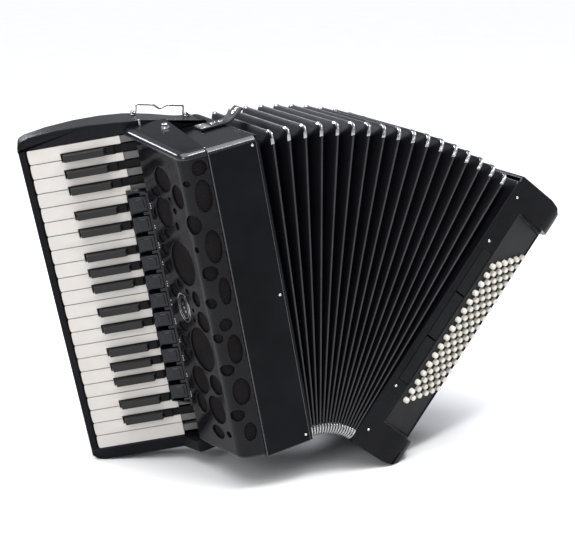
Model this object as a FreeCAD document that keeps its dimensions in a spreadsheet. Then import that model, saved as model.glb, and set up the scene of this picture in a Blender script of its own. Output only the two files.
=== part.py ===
import FreeCAD, Part
import os, math

# Piano accordion, 37 keys and 96 bass buttons, standing with its bellows fanned open.
# Three working frames are used.
#   T: treble frame. x runs from the keyboard towards the bellows, y from the front face to the back,
#      z up along the keyboard. Its origin is the lower front corner of the treble casing at the bellows edge.
#   K: keyboard frame. u runs from the rear end of the white keys towards the player's fingertips' edge,
#      n is the height above the white key tops, and z is shared with T.
#   B: bass frame. x from the bellows outwards, y front to back, z along the bass casing.
# The part frame has +X from keyboard to bass side, +Y front to back and +Z up.

V = FreeCAD.Vector
doc = FreeCAD.newDocument("piano_accordion")
dims = doc.addObject("Spreadsheet::Sheet", "dims")
SIZES = [
    # stance of the whole instrument
    ("lean_deg", -11.515), ("fan_deg", 48.27), ("fan_radius", 74.0), ("shift_x", -27.549), ("shift_y", -103.4), ("shift_z", 57.87),
    # treble casing
    ("case_depth", 190.0), ("case_height", 410.0), ("treble_width", 64.3), ("wall", 6.0),
    ("board_thick", 6.0), ("board_face", 66.0),
    # keyboard
    ("key_pitch", 19.0), ("key_gap", 0.8), ("key_length", 119.5), ("key_height", 12.0), ("white_count", 22),
    ("keys_top", 422.0), ("key_end_x", -122.5), ("key_end_y", 133.0), ("key_tilt_deg", 24.74),
    ("black_width", 10.0), ("black_front", 77.0), ("black_rise", 9.5), ("tail_width", 9.2),
    ("axle_radius", 1.5), ("axle_clear", 0.1), ("axle_u", -25.0), ("axle_n", -7.0), ("axle_length", 444.0),
    ("bed_floor", -17.5), ("bed_front", 130.0), ("cheek_low", -13.0), ("cheek_high", 441.0),
    # grille
    ("grille_wall", 2.5), ("grille_slope", 0.15), ("grille_low", 0.5),
    # register switches
    ("switch_count", 11), ("switch_pitch", 26.0), ("switch_width", 19.5), ("switch_first", 334.0),
    ("rod_radius", 1.2), ("rod_clear", 0.1),
    # strap bail
    ("bail_wire", 1.3), ("bail_rise", 11.5),
    # bellows
    ("fold_count", 18), ("crest_inset", 1.0), ("valley_inset", 20.0), ("skin", 3.0),
    ("frame_flange", 2.2), ("frame_spigot", 8.0), ("frame_bar", 10.0),
    # bass casing
    ("bass_offset", 1.5), ("bass_height", 418.0), ("bass_outer", 98.0), ("bass_wall", 5.0), ("slope_start", 26.0), ("slope_deg", 22.0),
    ("slope_length", 74.4), ("lobe_top", 378.0), ("lobe_bottom", 42.0),
    ("button_radius", 4.0), ("button_hole", 4.4), ("button_rise", 5.0), ("button_row", 10.48), ("button_col", 14.2),
    ("button_s0", 14.8), ("button_z0", 84.8), ("button_stagger", 7.6),
    ("bar_length", 67.4), ("bar_width", 16.0), ("bar_first", 103.0), ("bar_pitch", 69.6),
    ("strap_low", 92.0), ("strap_width", 60.0), ("strap_thick", 4.0),
    ("air_radius", 6.0), ("air_length", 13.0), ("wheel_radius", 13.0), ("wheel_width", 7.0), ("wheel_drop", 7.5), ("wheel_pin", 1.5),
]
for row, (alias, value) in enumerate(SIZES, start=1):
    dims.set("A%d" % row, alias.replace("_", " "))
    dims.set("B%d" % row, repr(value))
    dims.setAlias("B%d" % row, alias)
doc.recompute()


def g(alias):
    return float(dims.get(alias))


LEAN, FAN, R = math.radians(g("lean_deg")), math.radians(g("fan_deg")), g("fan_radius")
DEP, HGT, TW = g("case_depth"), g("case_height"), g("treble_width")
ROT_Y = V(0, 1, 0)
SHIFT = V(g("shift_x"), g("shift_y"), g("shift_z"))


def t_place():
    return FreeCAD.Placement(SHIFT, FreeCAD.Rotation(ROT_Y, math.degrees(LEAN)))


def fan_place(share, rise=0.0):
    # frame of a bellows plane at this share of the fan: its origin is the foot of that plane
    a = FAN * share
    rho = R + rise
    p = V(rho * math.sin(a), 0, -R + rho * math.cos(a))
    return t_place().multiply(FreeCAD.Placement(p, FreeCAD.Rotation(ROT_Y, math.degrees(a))))


def b_place():
    return fan_place(1.0, g("bass_offset"))


nodes = {}


def feature(name, shape, place):
    obj = doc.addObject("Part::Feature", name)
    obj.Label = name
    obj.Shape = shape
    obj.Placement = place
    nodes[name] = obj
    return obj


def poly_face(points):
    pts = [V(*p) for p in points]
    return Part.Face(Part.makePolygon(pts + [pts[0]]))


def prism(points, z0, z1):
    # section in x, y carried along z
    return poly_face([(p[0], p[1], z0) for p in points]).extrude(V(0, 0, z1 - z0))


def prism_y(points, y0, y1):
    # section in x, z carried along y
    return poly_face([(p[0], y0, p[1]) for p in points]).extrude(V(0, y1 - y0, 0))


def box(x0, x1, y0, y1, z0, z1):
    return Part.makeBox(x1 - x0, y1 - y0, z1 - z0, V(x0, y0, z0))


def rod(p, q, r):
    d = V(*q) - V(*p)
    return Part.makeCylinder(r, d.Length, V(*p), d)


def fuse(shapes):
    out = shapes[0].multiFuse(shapes[1:]) if len(shapes) > 1 else shapes[0]
    return out.removeSplitter()


# ---- parametric bodies: a sketched section padded to a length from the sheet ----
def sketch_on(body, points_list, z0, role="XY_Plane", name="Sketch"):
    sk = body.newObject("Sketcher::SketchObject", name)
    plane = [f for f in body.Origin.OriginFeatures if f.Role == role][0]
    sk.AttachmentSupport = [(plane, "")]
    sk.MapMode = "FlatFace"
    sk.AttachmentOffset = FreeCAD.Placement(V(0, 0, z0), FreeCAD.Rotation())
    for points in points_list:
        n = len(points)
        for i in range(n):
            a, b = points[i], points[(i + 1) % n]
            sk.addGeometry(Part.LineSegment(V(a[0], a[1], 0), V(b[0], b[1], 0)), False)
    return sk


def padded(name, points_list, z0, alias, place):
    # points_list[0] is the outline and the others are openings that go right through
    body = doc.addObject("PartDesign::Body", name)
    body.Label = name
    sk = sketch_on(body, points_list, z0, name=name + "_section")
    pad = body.newObject("PartDesign::Pad", name + "_pad")
    pad.Profile = sk
    pad.setExpression("Length", "dims." + alias)
    sk.Visibility = False
    body.Placement = place
    nodes[name] = body
    return body


# ================= treble side =================
W = g("wall")
# casing: a deep rectangular frame, open to the bellows and to the pallet board
body = doc.addObject("PartDesign::Body", "treble_casing")
body.Label = "treble_casing"
sk = sketch_on(body, [[(-TW, 0), (0, 0), (0, DEP), (-TW, DEP)]], 0, name="casing_section")
pad = body.newObject("PartDesign::Pad", "casing_block")
pad.Profile = sk
pad.setExpression("Length", "dims.case_height")
inner = sketch_on(body, [[(W, W), (HGT - W, W), (HGT - W, DEP - W), (W, DEP - W)]], 5.0, role="YZ_Plane", name="casing_opening")
# the opening's sketch lies across the casing, so its own axes are the casing's depth and height
for i in range(3, -1, -1):
    inner.delGeometry(i)
corners = [(W, W), (DEP - W, W), (DEP - W, HGT - W), (W, HGT - W)]
for i in range(4):
    a, b = corners[i], corners[(i + 1) % 4]
    inner.addGeometry(Part.LineSegment(V(a[0], a[1], 0), V(b[0], b[1], 0)), False)
cut = body.newObject("PartDesign::Pocket", "casing_hollow")
cut.Profile = inner
cut.Type = 0
cut.setExpression("Length", "dims.treble_width + 10")
body.Placement = t_place()
nodes["treble_casing"] = body
doc.recompute()
full = TW * DEP * HGT
if abs(body.Shape.Volume - (full - TW * (DEP - 2 * W) * (HGT - 2 * W))) > 1.0:
    cut.Reversed = not cut.Reversed
    doc.recompute()

TILT = math.radians(g("key_tilt_deg"))
EX, EY = g("key_end_x"), g("key_end_y")
UX, UY = -math.cos(TILT), math.sin(TILT)
NX, NY = -math.sin(TILT), -math.cos(TILT)


def K(u, n):
    return (EX + UX * u + NX * n, EY + UY * u + NY * n)


PITCH, GAP, KL, KH = g("key_pitch"), g("key_gap"), g("key_length"), g("key_height")
TOPZ = g("keys_top")
WHITES = "FGABCDE"
SHARP_SHIFT = {"F": 2.6, "G": 0.0, "A": -2.6, "C": 2.2, "D": -2.2}
BWID, BFR, BRISE, TAIL = g("black_width"), g("black_front"), g("black_rise"), g("tail_width")

# note list: (name, is_black, z_low, z_high of its narrow part, z_low, z_high of its wide part)
whites = []
blacks = []
for i in range(int(g("white_count"))):
    letter = WHITES[i % 7]
    hi = TOPZ - i * PITCH
    whites.append([letter, hi - PITCH, hi])
    if letter in SHARP_SHIFT and i < int(g("white_count")) - 1:
        c = hi - PITCH + SHARP_SHIFT[letter]
        blacks.append([letter + "s", c - BWID / 2, c + BWID / 2])

groups = {}
pallet_slots = []
AU, AN = g("axle_u"), g("axle_n")
AX, AY = K(AU, AN)
BF = g("board_face")


def arm_and_pallet(zc, yp, zp):
    # flat metal arm from the key's tail over the pallet board, and its felt-faced pallet centred at height zp
    p0, p1, p2 = K(-31, -7), (-82.5, 113.0), (-79.5, yp)
    pts = [(p0[0] - 1.2, p0[1] + 1.0), (p0[0] + 1.8, p0[1] + 2.2), (p1[0] + 2.0, p1[1] + 0.6), (p2[0] + 1.5, p2[1] + 2.0), (-70.0, yp + 2.0), (-70.0, yp - 2.0),
           (p2[0] - 1.5, p2[1] - 2.0), (p1[0] - 1.5, p1[1] - 0.6)]
    arm = prism(pts, zc - 1.2, zc + 1.2)
    pallet = box(-70.0, -BF - 0.3, yp - 17, yp + 17, zp - TAIL / 2, zp + TAIL / 2)
    return arm, pallet


axle_hole_r = g("axle_radius") + g("axle_clear")
all_sharps = [(b[1], b[2]) for b in blacks]
for letter, zl, zh in whites:
    nl, nh = zl + GAP / 2, zh - GAP / 2
    for bl, bh in all_sharps:
        if bl < zl < bh:
            nl = bh + GAP
        if bl < zh < bh:
            nh = bl - GAP
    a, b = zl + GAP / 2, zh - GAP / 2
    r = 2.4
    outline = [(2.0, nl), (BFR + 2.0, nl), (BFR + 2.0, a), (KL - 1.1, a), (KL - 0.3, a + 0.9), (KL, a + r), (KL, b - r), (KL - 0.3, b - 0.9), (KL - 1.1, b), (BFR + 2.0, b), (BFR + 2.0, nh), (2.0, nh)]
    if nl == a:
        outline = [p for p in outline if p != (BFR + 2.0, nl) and p != (BFR + 2.0, a)]
        outline.insert(1, (KL * 0.5, a))
        outline.pop(1)
    if nh == b:
        outline = [p for p in outline if p != (BFR + 2.0, nh) and p != (BFR + 2.0, b)]
    pts = [K(u, 0) + (z,) for u, z in outline]
    top = poly_face(pts).extrude(V(-NX * KH, -NY * KH, 0))
    zc = (nl + nh) / 2
    tail = prism([K(3, -KH), K(3, -1.5), K(-30, -1.5), K(-34, -4.5), K(-34, -KH)], zc - TAIL / 2, zc + TAIL / 2)
    # the top pallet sits lower than its key, clear of the sloping roof
    zp = min(zc, 412.2)
    arm, pallet = arm_and_pallet(zc, 86.0, zp)
    hole = rod((AX, AY, zc - 10), (AX, AY, zc + 10), axle_hole_r)
    solid = fuse([top, tail, arm, pallet]).cut(hole)
    groups.setdefault("key_group_" + letter.lower(), []).append(solid)
    pallet_slots.append((86.0, zp))
for letter, zl, zh in blacks:
    side = [K(BFR, -KH), K(BFR, -1.0), K(BFR - 1.6, BRISE - 1.6), K(BFR - 3.2, BRISE), K(24, BRISE), K(22.5, 3.0), K(11.5, 3.0), K(11.0, 0.0), K(2, -1.5), K(-30, -1.5), K(-34, -4.5), K(-34, -KH)]
    zc = (zl + zh) / 2
    key = prism(side, zl, zh)
    key = key.cut(prism([K(1.5, -30), K(1.5, 20), K(-60, 20), K(-60, -30)], zc + TAIL / 2, zc + 20)).cut(prism([K(1.5, -30), K(1.5, 20), K(-60, 20), K(-60, -30)], zc - 20, zc - TAIL / 2))
    arm, pallet = arm_and_pallet(zc, 42.0, zc)
    hole = rod((AX, AY, zc - 10), (AX, AY, zc + 10), axle_hole_r)
    solid = fuse([key, arm, pallet]).cut(hole)
    groups.setdefault("key_group_" + letter[0].lower() + "_sharp", []).append(solid)
    pallet_slots.append((42.0, zc))
for name in sorted(groups):
    feature(name, Part.makeCompound(groups[name]), t_place())

# axle that all the keys turn on
axle = doc.addObject("Part::Cylinder", "key_axle")
axle.Label = "key_axle"
axle.setExpression("Radius", "dims.axle_radius")
axle.setExpression("Height", "dims.axle_length")
axle.Placement = t_place().multiply(FreeCAD.Placement(V(AX, AY, -8.0), FreeCAD.Rotation()))
nodes["key_axle"] = axle

# pallet board: closes the casing towards the keyboard, with one air slot under each pallet
slots = Part.makeCompound([box(-BF - 1, -BF + g("board_thick") + 1, y - 14, y + 14, z - 3.2, z + 3.2) for y, z in pallet_slots])
plate = box(-BF, -BF + g("board_thick"), W + 0.3, DEP - W - 0.3, W + 0.3, HGT - W - 0.3)
feature("pallet_board", plate.cut(slots), t_place())

# reed blocks standing on the inner side of the pallet board, each with a reed plate on both sides
blocks = []
for yc in (32.0, 54.0, 76.0, 98.0):
    x0, x1 = -BF + g("board_thick"), -16.0
    blocks.append(box(x0, x1, yc - 5, yc + 5, 18, HGT - 18))
    blocks.append(box(x0 + 3, x1 - 3, yc - 6.6, yc - 5.1, 20, HGT - 20))
    blocks.append(box(x0 + 3, x1 - 3, yc + 5.1, yc + 6.6, 20, HGT - 20))
feature("treble_reed_blocks", Part.makeCompound(blocks), t_place())

# keyboard bed: slanted floor under the keys, front rail, lower end cheek, upper end cheek and the fin over the casing
FLOOR, BED, LOWZ = g("bed_floor"), g("bed_front"), g("cheek_low")
back = [(-BF - 0.6, 196.0), (-231.4, 207.5)]
floor_sec = [K(BED, -1.0), K(BED, -16.0), back[1], back[0], (-BF - 0.6, 134.5), K(-37, FLOOR), K(121.2, FLOOR), K(121.2, -1.0)]
low_sec = [K(BED, 1.0), K(6, 1.0), (-118.6, 103.0), (-113.0, 100.6), (-BF - 0.6, 100.6), back[0], back[1], K(BED, -16.0)]
high_sec = [K(BED, 1.0), K(-1.5, 1.0), (-113.0, 130.0), (-BF - 0.6, 130.0), back[0], back[1], K(BED, -16.0)]
fin_sec = [(-BF - 1.0, 130.0), (-9.0, 130.0), (-9.0, 190.0), (-30.0, 194.0), (-BF - 1.0, 196.0)]
bed = fuse([prism(floor_sec, 0, 424), prism(low_sec, LOWZ, TOPZ - 22 * PITCH - 0.5), prism(high_sec, TOPZ + 0.5, 450), prism(fin_sec, HGT + 0.3, 450)])
HI = g("cheek_high")
profile = [(-226, LOWZ), (-8, LOWZ), (-8, HGT + 0.4), (-31, 415), (-58, 424), (-79, 430), (-95, 434), (-125, 438.5), (-160, HI), (-195, HI), (-224, 438.5), (-235, 434.5), (-240, 428), (-242.5, 418), (-242.5, 2), (-240, -5), (-234, -10.5)]
bed = bed.common(prism_y(profile, 80, 230))
bed = bed.cut(rod((AX, AY, -8.0 - 0.2), (AX, AY, -8.0 + g("axle_length") + 0.2), g("axle_radius") + 0.02))
# shallow pockets that the two bail brackets are let into
P1, P2 = (-85.0, 180.0), (-19.0, 180.0)
z1, z2 = 434.2, 415.6
d12 = V(P2[0] - P1[0], 0, z2 - z1)
L12 = d12.Length
d12.normalize()
up12 = V(-d12.z, 0, d12.x)


def bail_point(s, h):
    p = V(P1[0], P1[1], z1) + d12 * s + up12 * h
    return (p.x, p.y, p.z)


for s in (-2.8, L12 + 2.8):
    pocket = box(-2.65, 2.65, -6.05, 6.05, -3.42, 6.0)
    pocket.Placement = FreeCAD.Placement(V(*bail_point(s, 0)), FreeCAD.Rotation(V(1, 0, 0), d12))
    bed = bed.cut(pocket)
feature("keyboard_bed", bed, t_place())

# ---- grille cover: perforated shell over the pallets, with a rounded ridge ----
GW, SL, GL = g("grille_wall"), g("grille_slope"), g("grille_low")
RID = (-98.0, 0.0)
REAR = (-115.2, 100.0)


def ridge_line(inset):
    # front face, rounded ridge and slanted left face, moved inwards by the inset
    ld = V(REAR[0] + 99.8, REAR[1] - 12.0, 0).normalize()
    nin = V(ld.y, -ld.x, 0)
    rad = 14.0 - inset
    # centre of the ridge's rounding
    cx, cy = -86.0, 14.0
    a0, a1 = -90.0, -180.0 - math.degrees(math.atan2(-ld.x, ld.y))
    pts = [(-TW - 0.3, inset)]
    steps = 10
    a_end = math.degrees(math.atan2(-nin.y, -nin.x))
    if a_end > 0:
        a_end -= 360.0
    for i in range(steps + 1):
        a = math.radians(a0 + (a_end - a0) * i / steps)
        pts.append((cx + rad * math.cos(a), cy + rad * math.sin(a)))
    last = pts[-1]
    t = (REAR[1] - last[1]) / ld.y
    pts.append((last[0] + ld.x * t, REAR[1]))
    return pts


outer, inner_line, cloth_a, cloth_b = ridge_line(0.0), ridge_line(GW), ridge_line(GW + 0.5), ridge_line(GW + 1.3)


def sloped(z_front, size=400.0):
    # everything above a plane that rises towards the back
    return poly_face([(-200, -20, z_front - 20 * SL), (-200, 160, z_front + 160 * SL), (-200, 160, 700), (-200, -20, 700)]).extrude(V(size, 0, 0))


def under(lift):
    # everything below the slanted plane that trims the lower end around the ridge
    def pz(x, y):
        return -6.0 + 0.181 * (-64.6 - x) + 0.0917 * (100.0 - y) + lift
    return poly_face([(x, y, pz(x, y)) for x, y in ((-150, -30), (-40, -30), (-40, 150), (-150, 150))]).extrude(V(0, 0, -60))


LEFT_X = outer[-1][0]
main = prism(outer + [(-TW - 0.3, REAR[1])], GL, 440)
cap = prism([(LEFT_X, REAR[1] - 0.5), (LEFT_X - 4.1, 126.5), (-TW - 0.3, 126.5), (-TW - 0.3, REAR[1] - 0.5)], 405, 440)
shell = fuse([main, cap]).cut(sloped(HGT))
hollow = prism(inner_line + [(inner_line[-1][0] - 4.4, 130.0), (-TW + 2.0, 130.0), (-TW + 2.0, GW)], GL + GW, 440).cut(sloped(HGT - GW))
hollow = hollow.fuse(prism([(-130, REAR[1]), (-TW + 2.0, REAR[1]), (-TW + 2.0, 130.0), (-130, 130.0)], 300, 440).cut(sloped(HGT - GW)))
shell = shell.cut(under(0.0)).cut(hollow.cut(under(2.6)))
FRONT_HOLES = [(-77.5, 390.2, 9.4, 9.4, 0), (-78.7, 355.9, 10.6, 20.0, 0), (-96.0, 374.5, 4.0, 3.5, 0), (-99.8, 323.3, 11.6, 11.9, 0), (-79.0, 292.0, 10.6, 21.0, 0), (-100.0, 291.7, 3.4, 3.6, 0), (-90.1, 260.3, 10.3, 9.1, 0), (-96.1, 221.8, 7.0, 6.5, 0), (-76.0, 233.3, 7.6, 18.0, 0), (-83.6, 191.2, 8.2, 8.1, 0), (-96.3, 175.4, 6.1, 6.0, 0), (-78.1, 156.6, 9.6, 19.6, 0), (-93.7, 131.8, 9.6, 7.9, 0), (-80.5, 99.3, 11.7, 18.1, 0), (-92.0, 68.9, 9.7, 8.1, 0), (-79.7, 42.7, 8.5, 12.5, 0)]
LEFT_HOLES = [(44.0, 373.6, 17.9, 15.5, 0), (56.6, 329.5, 18.6, 19.8, 0), (68.0, 354.0, 11.0, 4.6, 0), (81.0, 325.6, 3.8, 5.1, 0), (36.5, 350.4, 3.0, 1.8, 0), (29.1, 336.3, 3.7, 3.8, 0), (30.9, 316.2, 4.5, 4.5, 0), (14.5, 356.1, 12.0, 14.7, 0), (61.7, 301.2, 6.7, 5.4, 0), (78.0, 293.5, 6.8, 5.7, 0), (35.7, 266.4, 26.0, 28.4, 0), (75.0, 278.0, 9.0, 7.0, 0), (77.0, 254.1, 7.2, 7.0, 0), (57.3, 236.0, 5.4, 5.0, 0), (75.0, 222.9, 9.2, 7.8, 0), (41.1, 228.8, 3.6, 3.7, 0), (22.1, 222.6, 8.6, 10.2, 0), (35.1, 204.9, 2.6, 2.4, 0), (38.4, 190.3, 2.6, 2.4, 0), (16.0, 193.0, 13.5, 13.5, 0), (71.2, 174.4, 9.3, 6.1, 0), (32.8, 151.4, 26.0, 29.4, 0), (74.5, 153.8, 8.5, 7.6, 0), (75.4, 134.6, 8.5, 7.6, 0), (54.7, 103.6, 18.6, 18.8, 0), (17.1, 106.3, 14.0, 13.4, 0), (63.0, 68.5, 12.6, 13.2, 0), (27.2, 68.8, 19.0, 19.2, 0), (35.3, 35.0, 13.7, 8.9, 0), (9.2, 39.0, 5.2, 4.2, 0)]
cuts = []


def ellipse_prism(centre, a_dir, b_dir, ra, rb, depth_dir, depth):
    n = 28
    pts = []
    for i in range(n):
        t = 2 * math.pi * i / n
        p = V(*centre) + V(*a_dir) * (ra * math.cos(t)) + V(*b_dir) * (rb * math.sin(t))
        pts.append(p - V(*depth_dir) * depth)
    return Part.Face(Part.makePolygon(pts + [pts[0]])).extrude(V(*depth_dir) * (2 * depth))


for x, z, ra, rb, tilt in FRONT_HOLES:
    t = math.radians(tilt)
    cuts.append(ellipse_prism((x, 0, z), (math.cos(t), 0, math.sin(t)), (-math.sin(t), 0, math.cos(t)), ra, rb, (0, 1, 0), 15.0))
lx, ly = outer[-2]
ld = V(outer[-1][0] - lx, outer[-1][1] - ly, 0)
left_len = ld.Length
ld.normalize()
nin = V(ld.y, -ld.x, 0)
for s, z, ra, rb, tilt in LEFT_HOLES:
    t = math.radians(tilt)
    cuts.append(ellipse_prism((lx + ld.x * s, ly + ld.y * s, z), (ld.x * math.cos(t), ld.y * math.cos(t), math.sin(t)), (-ld.x * math.sin(t), -ld.y * math.sin(t), math.cos(t)), ra, rb, (nin.x, nin.y, 0), 6.0))
shell = shell.cut(Part.makeCompound(cuts))
feature("grille_cover", shell, t_place())
feature("grille_cloth", prism(cloth_a[:-1] + [(cloth_a[-1][0] + 0.9, REAR[1] - 5.0)] + [(cloth_b[-1][0] + 0.9, REAR[1] - 5.0)] + cloth_b[:-1][::-1], GL + GW + 1.0, HGT - GW - 2.0).cut(under(3.4)), t_place())

# ---- register rail and switches ----
NSW, SP, SW, S0 = int(g("switch_count")), g("switch_pitch"), g("switch_width"), g("switch_first")
z_bot, z_top = S0 - (NSW - 1) * SP - SP / 2 - 4, S0 + SP / 2 + 4
RU, RN = -14.0, 8.6
rail = [prism([K(-20.6, 1.2), K(-20.6, 26.0), K(-17.6, 26.0), K(-17.6, 2.6), K(9.0, 2.6), K(9.0, 1.2)], z_bot, z_top)]
for zc in [S0 + SP / 2 - i * SP for i in range(NSW + 1)]:
    rail.append(prism([K(-18.0, 2.0), K(-18.0, 13.0), K(-9.0, 13.0), K(-6.0, 2.0)], zc - 2.2, zc + 2.2))
for zc in (z_bot + 1.0, z_top - 1.0):
    rail.append(prism([K(-18.0, 2.0), K(-18.0, 20.0), K(8.5, 4.0), K(8.5, 2.0)], zc - 1.0, zc + 1.0))
RX, RY = K(RU, RN)
rail = fuse(rail).fuse(rod((RX, RY, z_bot + 0.5), (RX, RY, z_top - 0.5), g("rod_radius")))
feature("register_rail", rail, t_place())
switch_sec = [K(-17.0, 6.0), K(-17.0, 13.6), K(-14.5, 14.8), K(2.5, 13.2), K(7.0, 11.4), K(8.6, 8.4), K(8.6, 5.6), K(-9.0, 5.4), K(-12.0, 5.0)]
rr = g("rod_radius") + g("rod_clear")
for i in range(NSW):
    zc = S0 - i * SP
    name = "register_switch_%02d" % (i + 1)
    body = doc.addObject("PartDesign::Body", name)
    body.Label = name
    circle = Part.Circle(V(RX, RY, 0), V(0, 0, 1), rr)
    sk = sketch_on(body, [switch_sec], zc - SW / 2, name=name + "_side")
    sk.addGeometry(circle, False)
    pad = body.newObject("PartDesign::Pad", name + "_pad")
    pad.Profile = sk
    pad.setExpression("Length", "dims.switch_width")
    body.Placement = t_place()
    nodes[name] = body

# ---- strap bail on the fin, its brackets, and the lower strap rings ----
BW, BR = g("bail_wire"), g("bail_rise")
path = [(-2.6, 0), (2.0, 0), (2.0, BR - 1.5), (3.5, BR), (24, BR), (29, BR - 3.2), (L12 / 2, BR - 4.4), (L12 - 29, BR - 3.2), (L12 - 24, BR), (L12 - 3.5, BR), (L12 - 2.0, BR - 1.5), (L12 - 2.0, 0), (L12 + 2.6, 0)]
wire = []
for i in range(len(path) - 1):
    wire.append(rod(bail_point(*path[i]), bail_point(*path[i + 1]), BW))
for p in path[1:-1]:
    wire.append(Part.makeSphere(BW, V(*bail_point(*p))))
feature("strap_bail", wire[0].multiFuse(wire[1:]), t_place())
brackets = []
for s in (-2.8, L12 + 2.8):
    c = V(*bail_point(s, 0))
    base = box(-2.6, 2.6, -6, 6, -3.4, -2.1).fuse(box(-1.6, 1.6, -3.2, 3.2, -2.2, 2.6)).cut(rod((-8, 0, 0), (8, 0, 0), BW + 0.08))
    rot = FreeCAD.Rotation(V(1, 0, 0), d12)
    base.Placement = FreeCAD.Placement(c, rot)
    brackets.append(base)
rings = []
for xr in (-52.0, -24.0):
    y0 = DEP + 0.05
    rings.append(box(xr - 10, xr + 10, y0, y0 + 1.6, 8, 34).fuse(box(xr - 8, xr + 8, y0 + 1.5, y0 + 5.6, 26, 30)))
    rings.append(box(xr - 8, xr + 8, y0 + 3.0, y0 + 5.2, 10, 25.9).cut(box(xr - 5.8, xr + 5.8, y0 + 2.0, y0 + 6.0, 12.2, 23.7)))
feature("strap_brackets", Part.makeCompound(brackets + rings), t_place())

# screws: pins of the bellows frame, front and back, and the thumb screw that holds the grille
screws = []
for zc in (11.0, 206.0, 399.0):
    screws.append(rod((-6.5, -0.7, zc), (-6.5, 0.0, zc), 2.2))
    screws.append(rod((-6.5, DEP, zc), (-6.5, DEP + 0.7, zc), 2.2))
sl = math.hypot(1.0, g("grille_slope"))


def off_roof(t):
    # point at a distance t above the middle of the thumb screw's seat
    return (-76.0, 96.0 - t * g("grille_slope") / sl, HGT + g("grille_slope") * 96.0 + t / sl)


screws.append(rod(off_roof(0.05), off_roof(1.8), 5.2).fuse(rod(off_roof(1.6), off_roof(6.0), 3.4)))
feature("treble_screws", Part.makeCompound(screws), t_place())

# ---- bellows straps: leather tongues fixed to the treble casing, free at the bellows end ----
feature("bellows_strap_top", prism_y([(-34, HGT + 0.3), (4, HGT + 0.3), (8, HGT + 1.5), (26, HGT + 14.0), (24.5, HGT + 16.5), (7, HGT + 5.0), (2, HGT + 3.6), (-34, HGT + 3.6)], 84.0, 112.0), t_place())
feature("bellows_strap_bottom", prism_y([(-34, -0.3), (4, -0.3), (8, -1.2), (16, -5.0), (15, -7.6), (7, -4.2), (2, -3.4), (-34, -3.4)], 84.0, 112.0), t_place())

# ================= bellows =================
FL, SPG, FB = g("frame_flange"), g("frame_spigot"), g("frame_bar")


def rect_frame(x0, x1, y0, y1, z0, z1, bar):
    return box(x0, x1, y0, y1, z0, z1).cut(box(x0 - 1, x1 + 1, y0 + bar, y1 - bar, z0 + bar, z1 - bar))


fr = rect_frame(0.0, FL, 0.8, DEP - 0.8, 0.8, HGT - 0.8, FB + W).fuse(rect_frame(-SPG, 0.0, W + 0.2, DEP - W - 0.2, W + 0.2, HGT - W - 0.2, FB))
feature("bellows_frame_treble", fr.removeSplitter(), t_place())
N = int(g("fold_count"))
CI, VI, SK = g("crest_inset"), g("valley_inset"), g("skin")


def ring(share, inset, dx=0.0):
    # the four corners of a bellows outline in T coordinates, front-low, front-high, back-high, back-low
    a = FAN * share
    lo, hi = R + inset, R + HGT - inset
    off = V(math.cos(a), 0, -math.sin(a)) * dx
    pts = []
    for rho, y in ((lo, inset), (hi, inset), (hi, DEP - inset), (lo, DEP - inset)):
        pts.append(V(rho * math.sin(a), y, -R + rho * math.cos(a)) + off)
    return pts


def tri(a, b, c):
    return Part.Face(Part.makePolygon([a, b, c, a]))


def quad(a, b, c, d):
    return [tri(a, b, c), tri(a, c, d)]


def fold_ring(k0, k1, d0, d1):
    outs, ins = [], []
    k = k0
    while k <= k1 + 1e-9:
        crest = abs(k - round(k)) < 1e-6
        inset = CI if crest else VI
        dx = d0 if abs(k - k0) < 1e-6 else (d1 if abs(k - k1) < 1e-6 else 0.0)
        outs.append(ring(k / N, inset, dx))
        ins.append(ring(k / N, inset + SK, dx))
        k += 0.5
    faces = []
    for line in (outs, ins):
        for a, b in zip(line[:-1], line[1:]):
            for i in range(4):
                j = (i + 1) % 4
                faces += quad(a[i], a[j], b[j], b[i])
    for o, n in ((outs[0], ins[0]), (outs[-1], ins[-1])):
        for i in range(4):
            j = (i + 1) % 4
            faces += quad(o[i], o[j], n[j], n[i])
    shell = Part.makeShell(faces)
    solid = Part.makeSolid(shell)
    if solid.Volume < 0:
        solid.reverse()
    return solid


third = [(0, 3, FL + 0.05, -0.15), (3, 9, 0.15, -0.15), (9, 15, 0.15, -0.15), (15, 18, 0.15, -FL - 0.05)]
for i, (k0, k1, d0, d1) in enumerate(third):
    feature("bellows_folds_%d" % (i + 1), fold_ring(k0, k1, d0, d1), t_place())

# ================= bass side =================
BH, BO, BWL = g("bass_height"), g("bass_outer"), g("bass_wall")
SS, PHI = g("slope_start"), math.radians(g("slope_deg"))
SLEN = g("slope_length")
LT, LB = g("lobe_top"), g("lobe_bottom")
fb = rect_frame(-FL, 0.0, 0.8, DEP - 0.8, 0.8, HGT - 0.8, FB + BWL).fuse(rect_frame(0.0, SPG, BWL + 0.2, DEP - BWL - 0.2, BWL + 0.2, HGT - BWL - 0.2, FB))
feature("bellows_frame_bass", fb.removeSplitter(), b_place())


def J(s, m):
    # on the slanted button face: s along it, m out of it
    return (SS + s * math.cos(PHI) + m * math.sin(PHI), s * math.sin(PHI) - m * math.cos(PHI))


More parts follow.
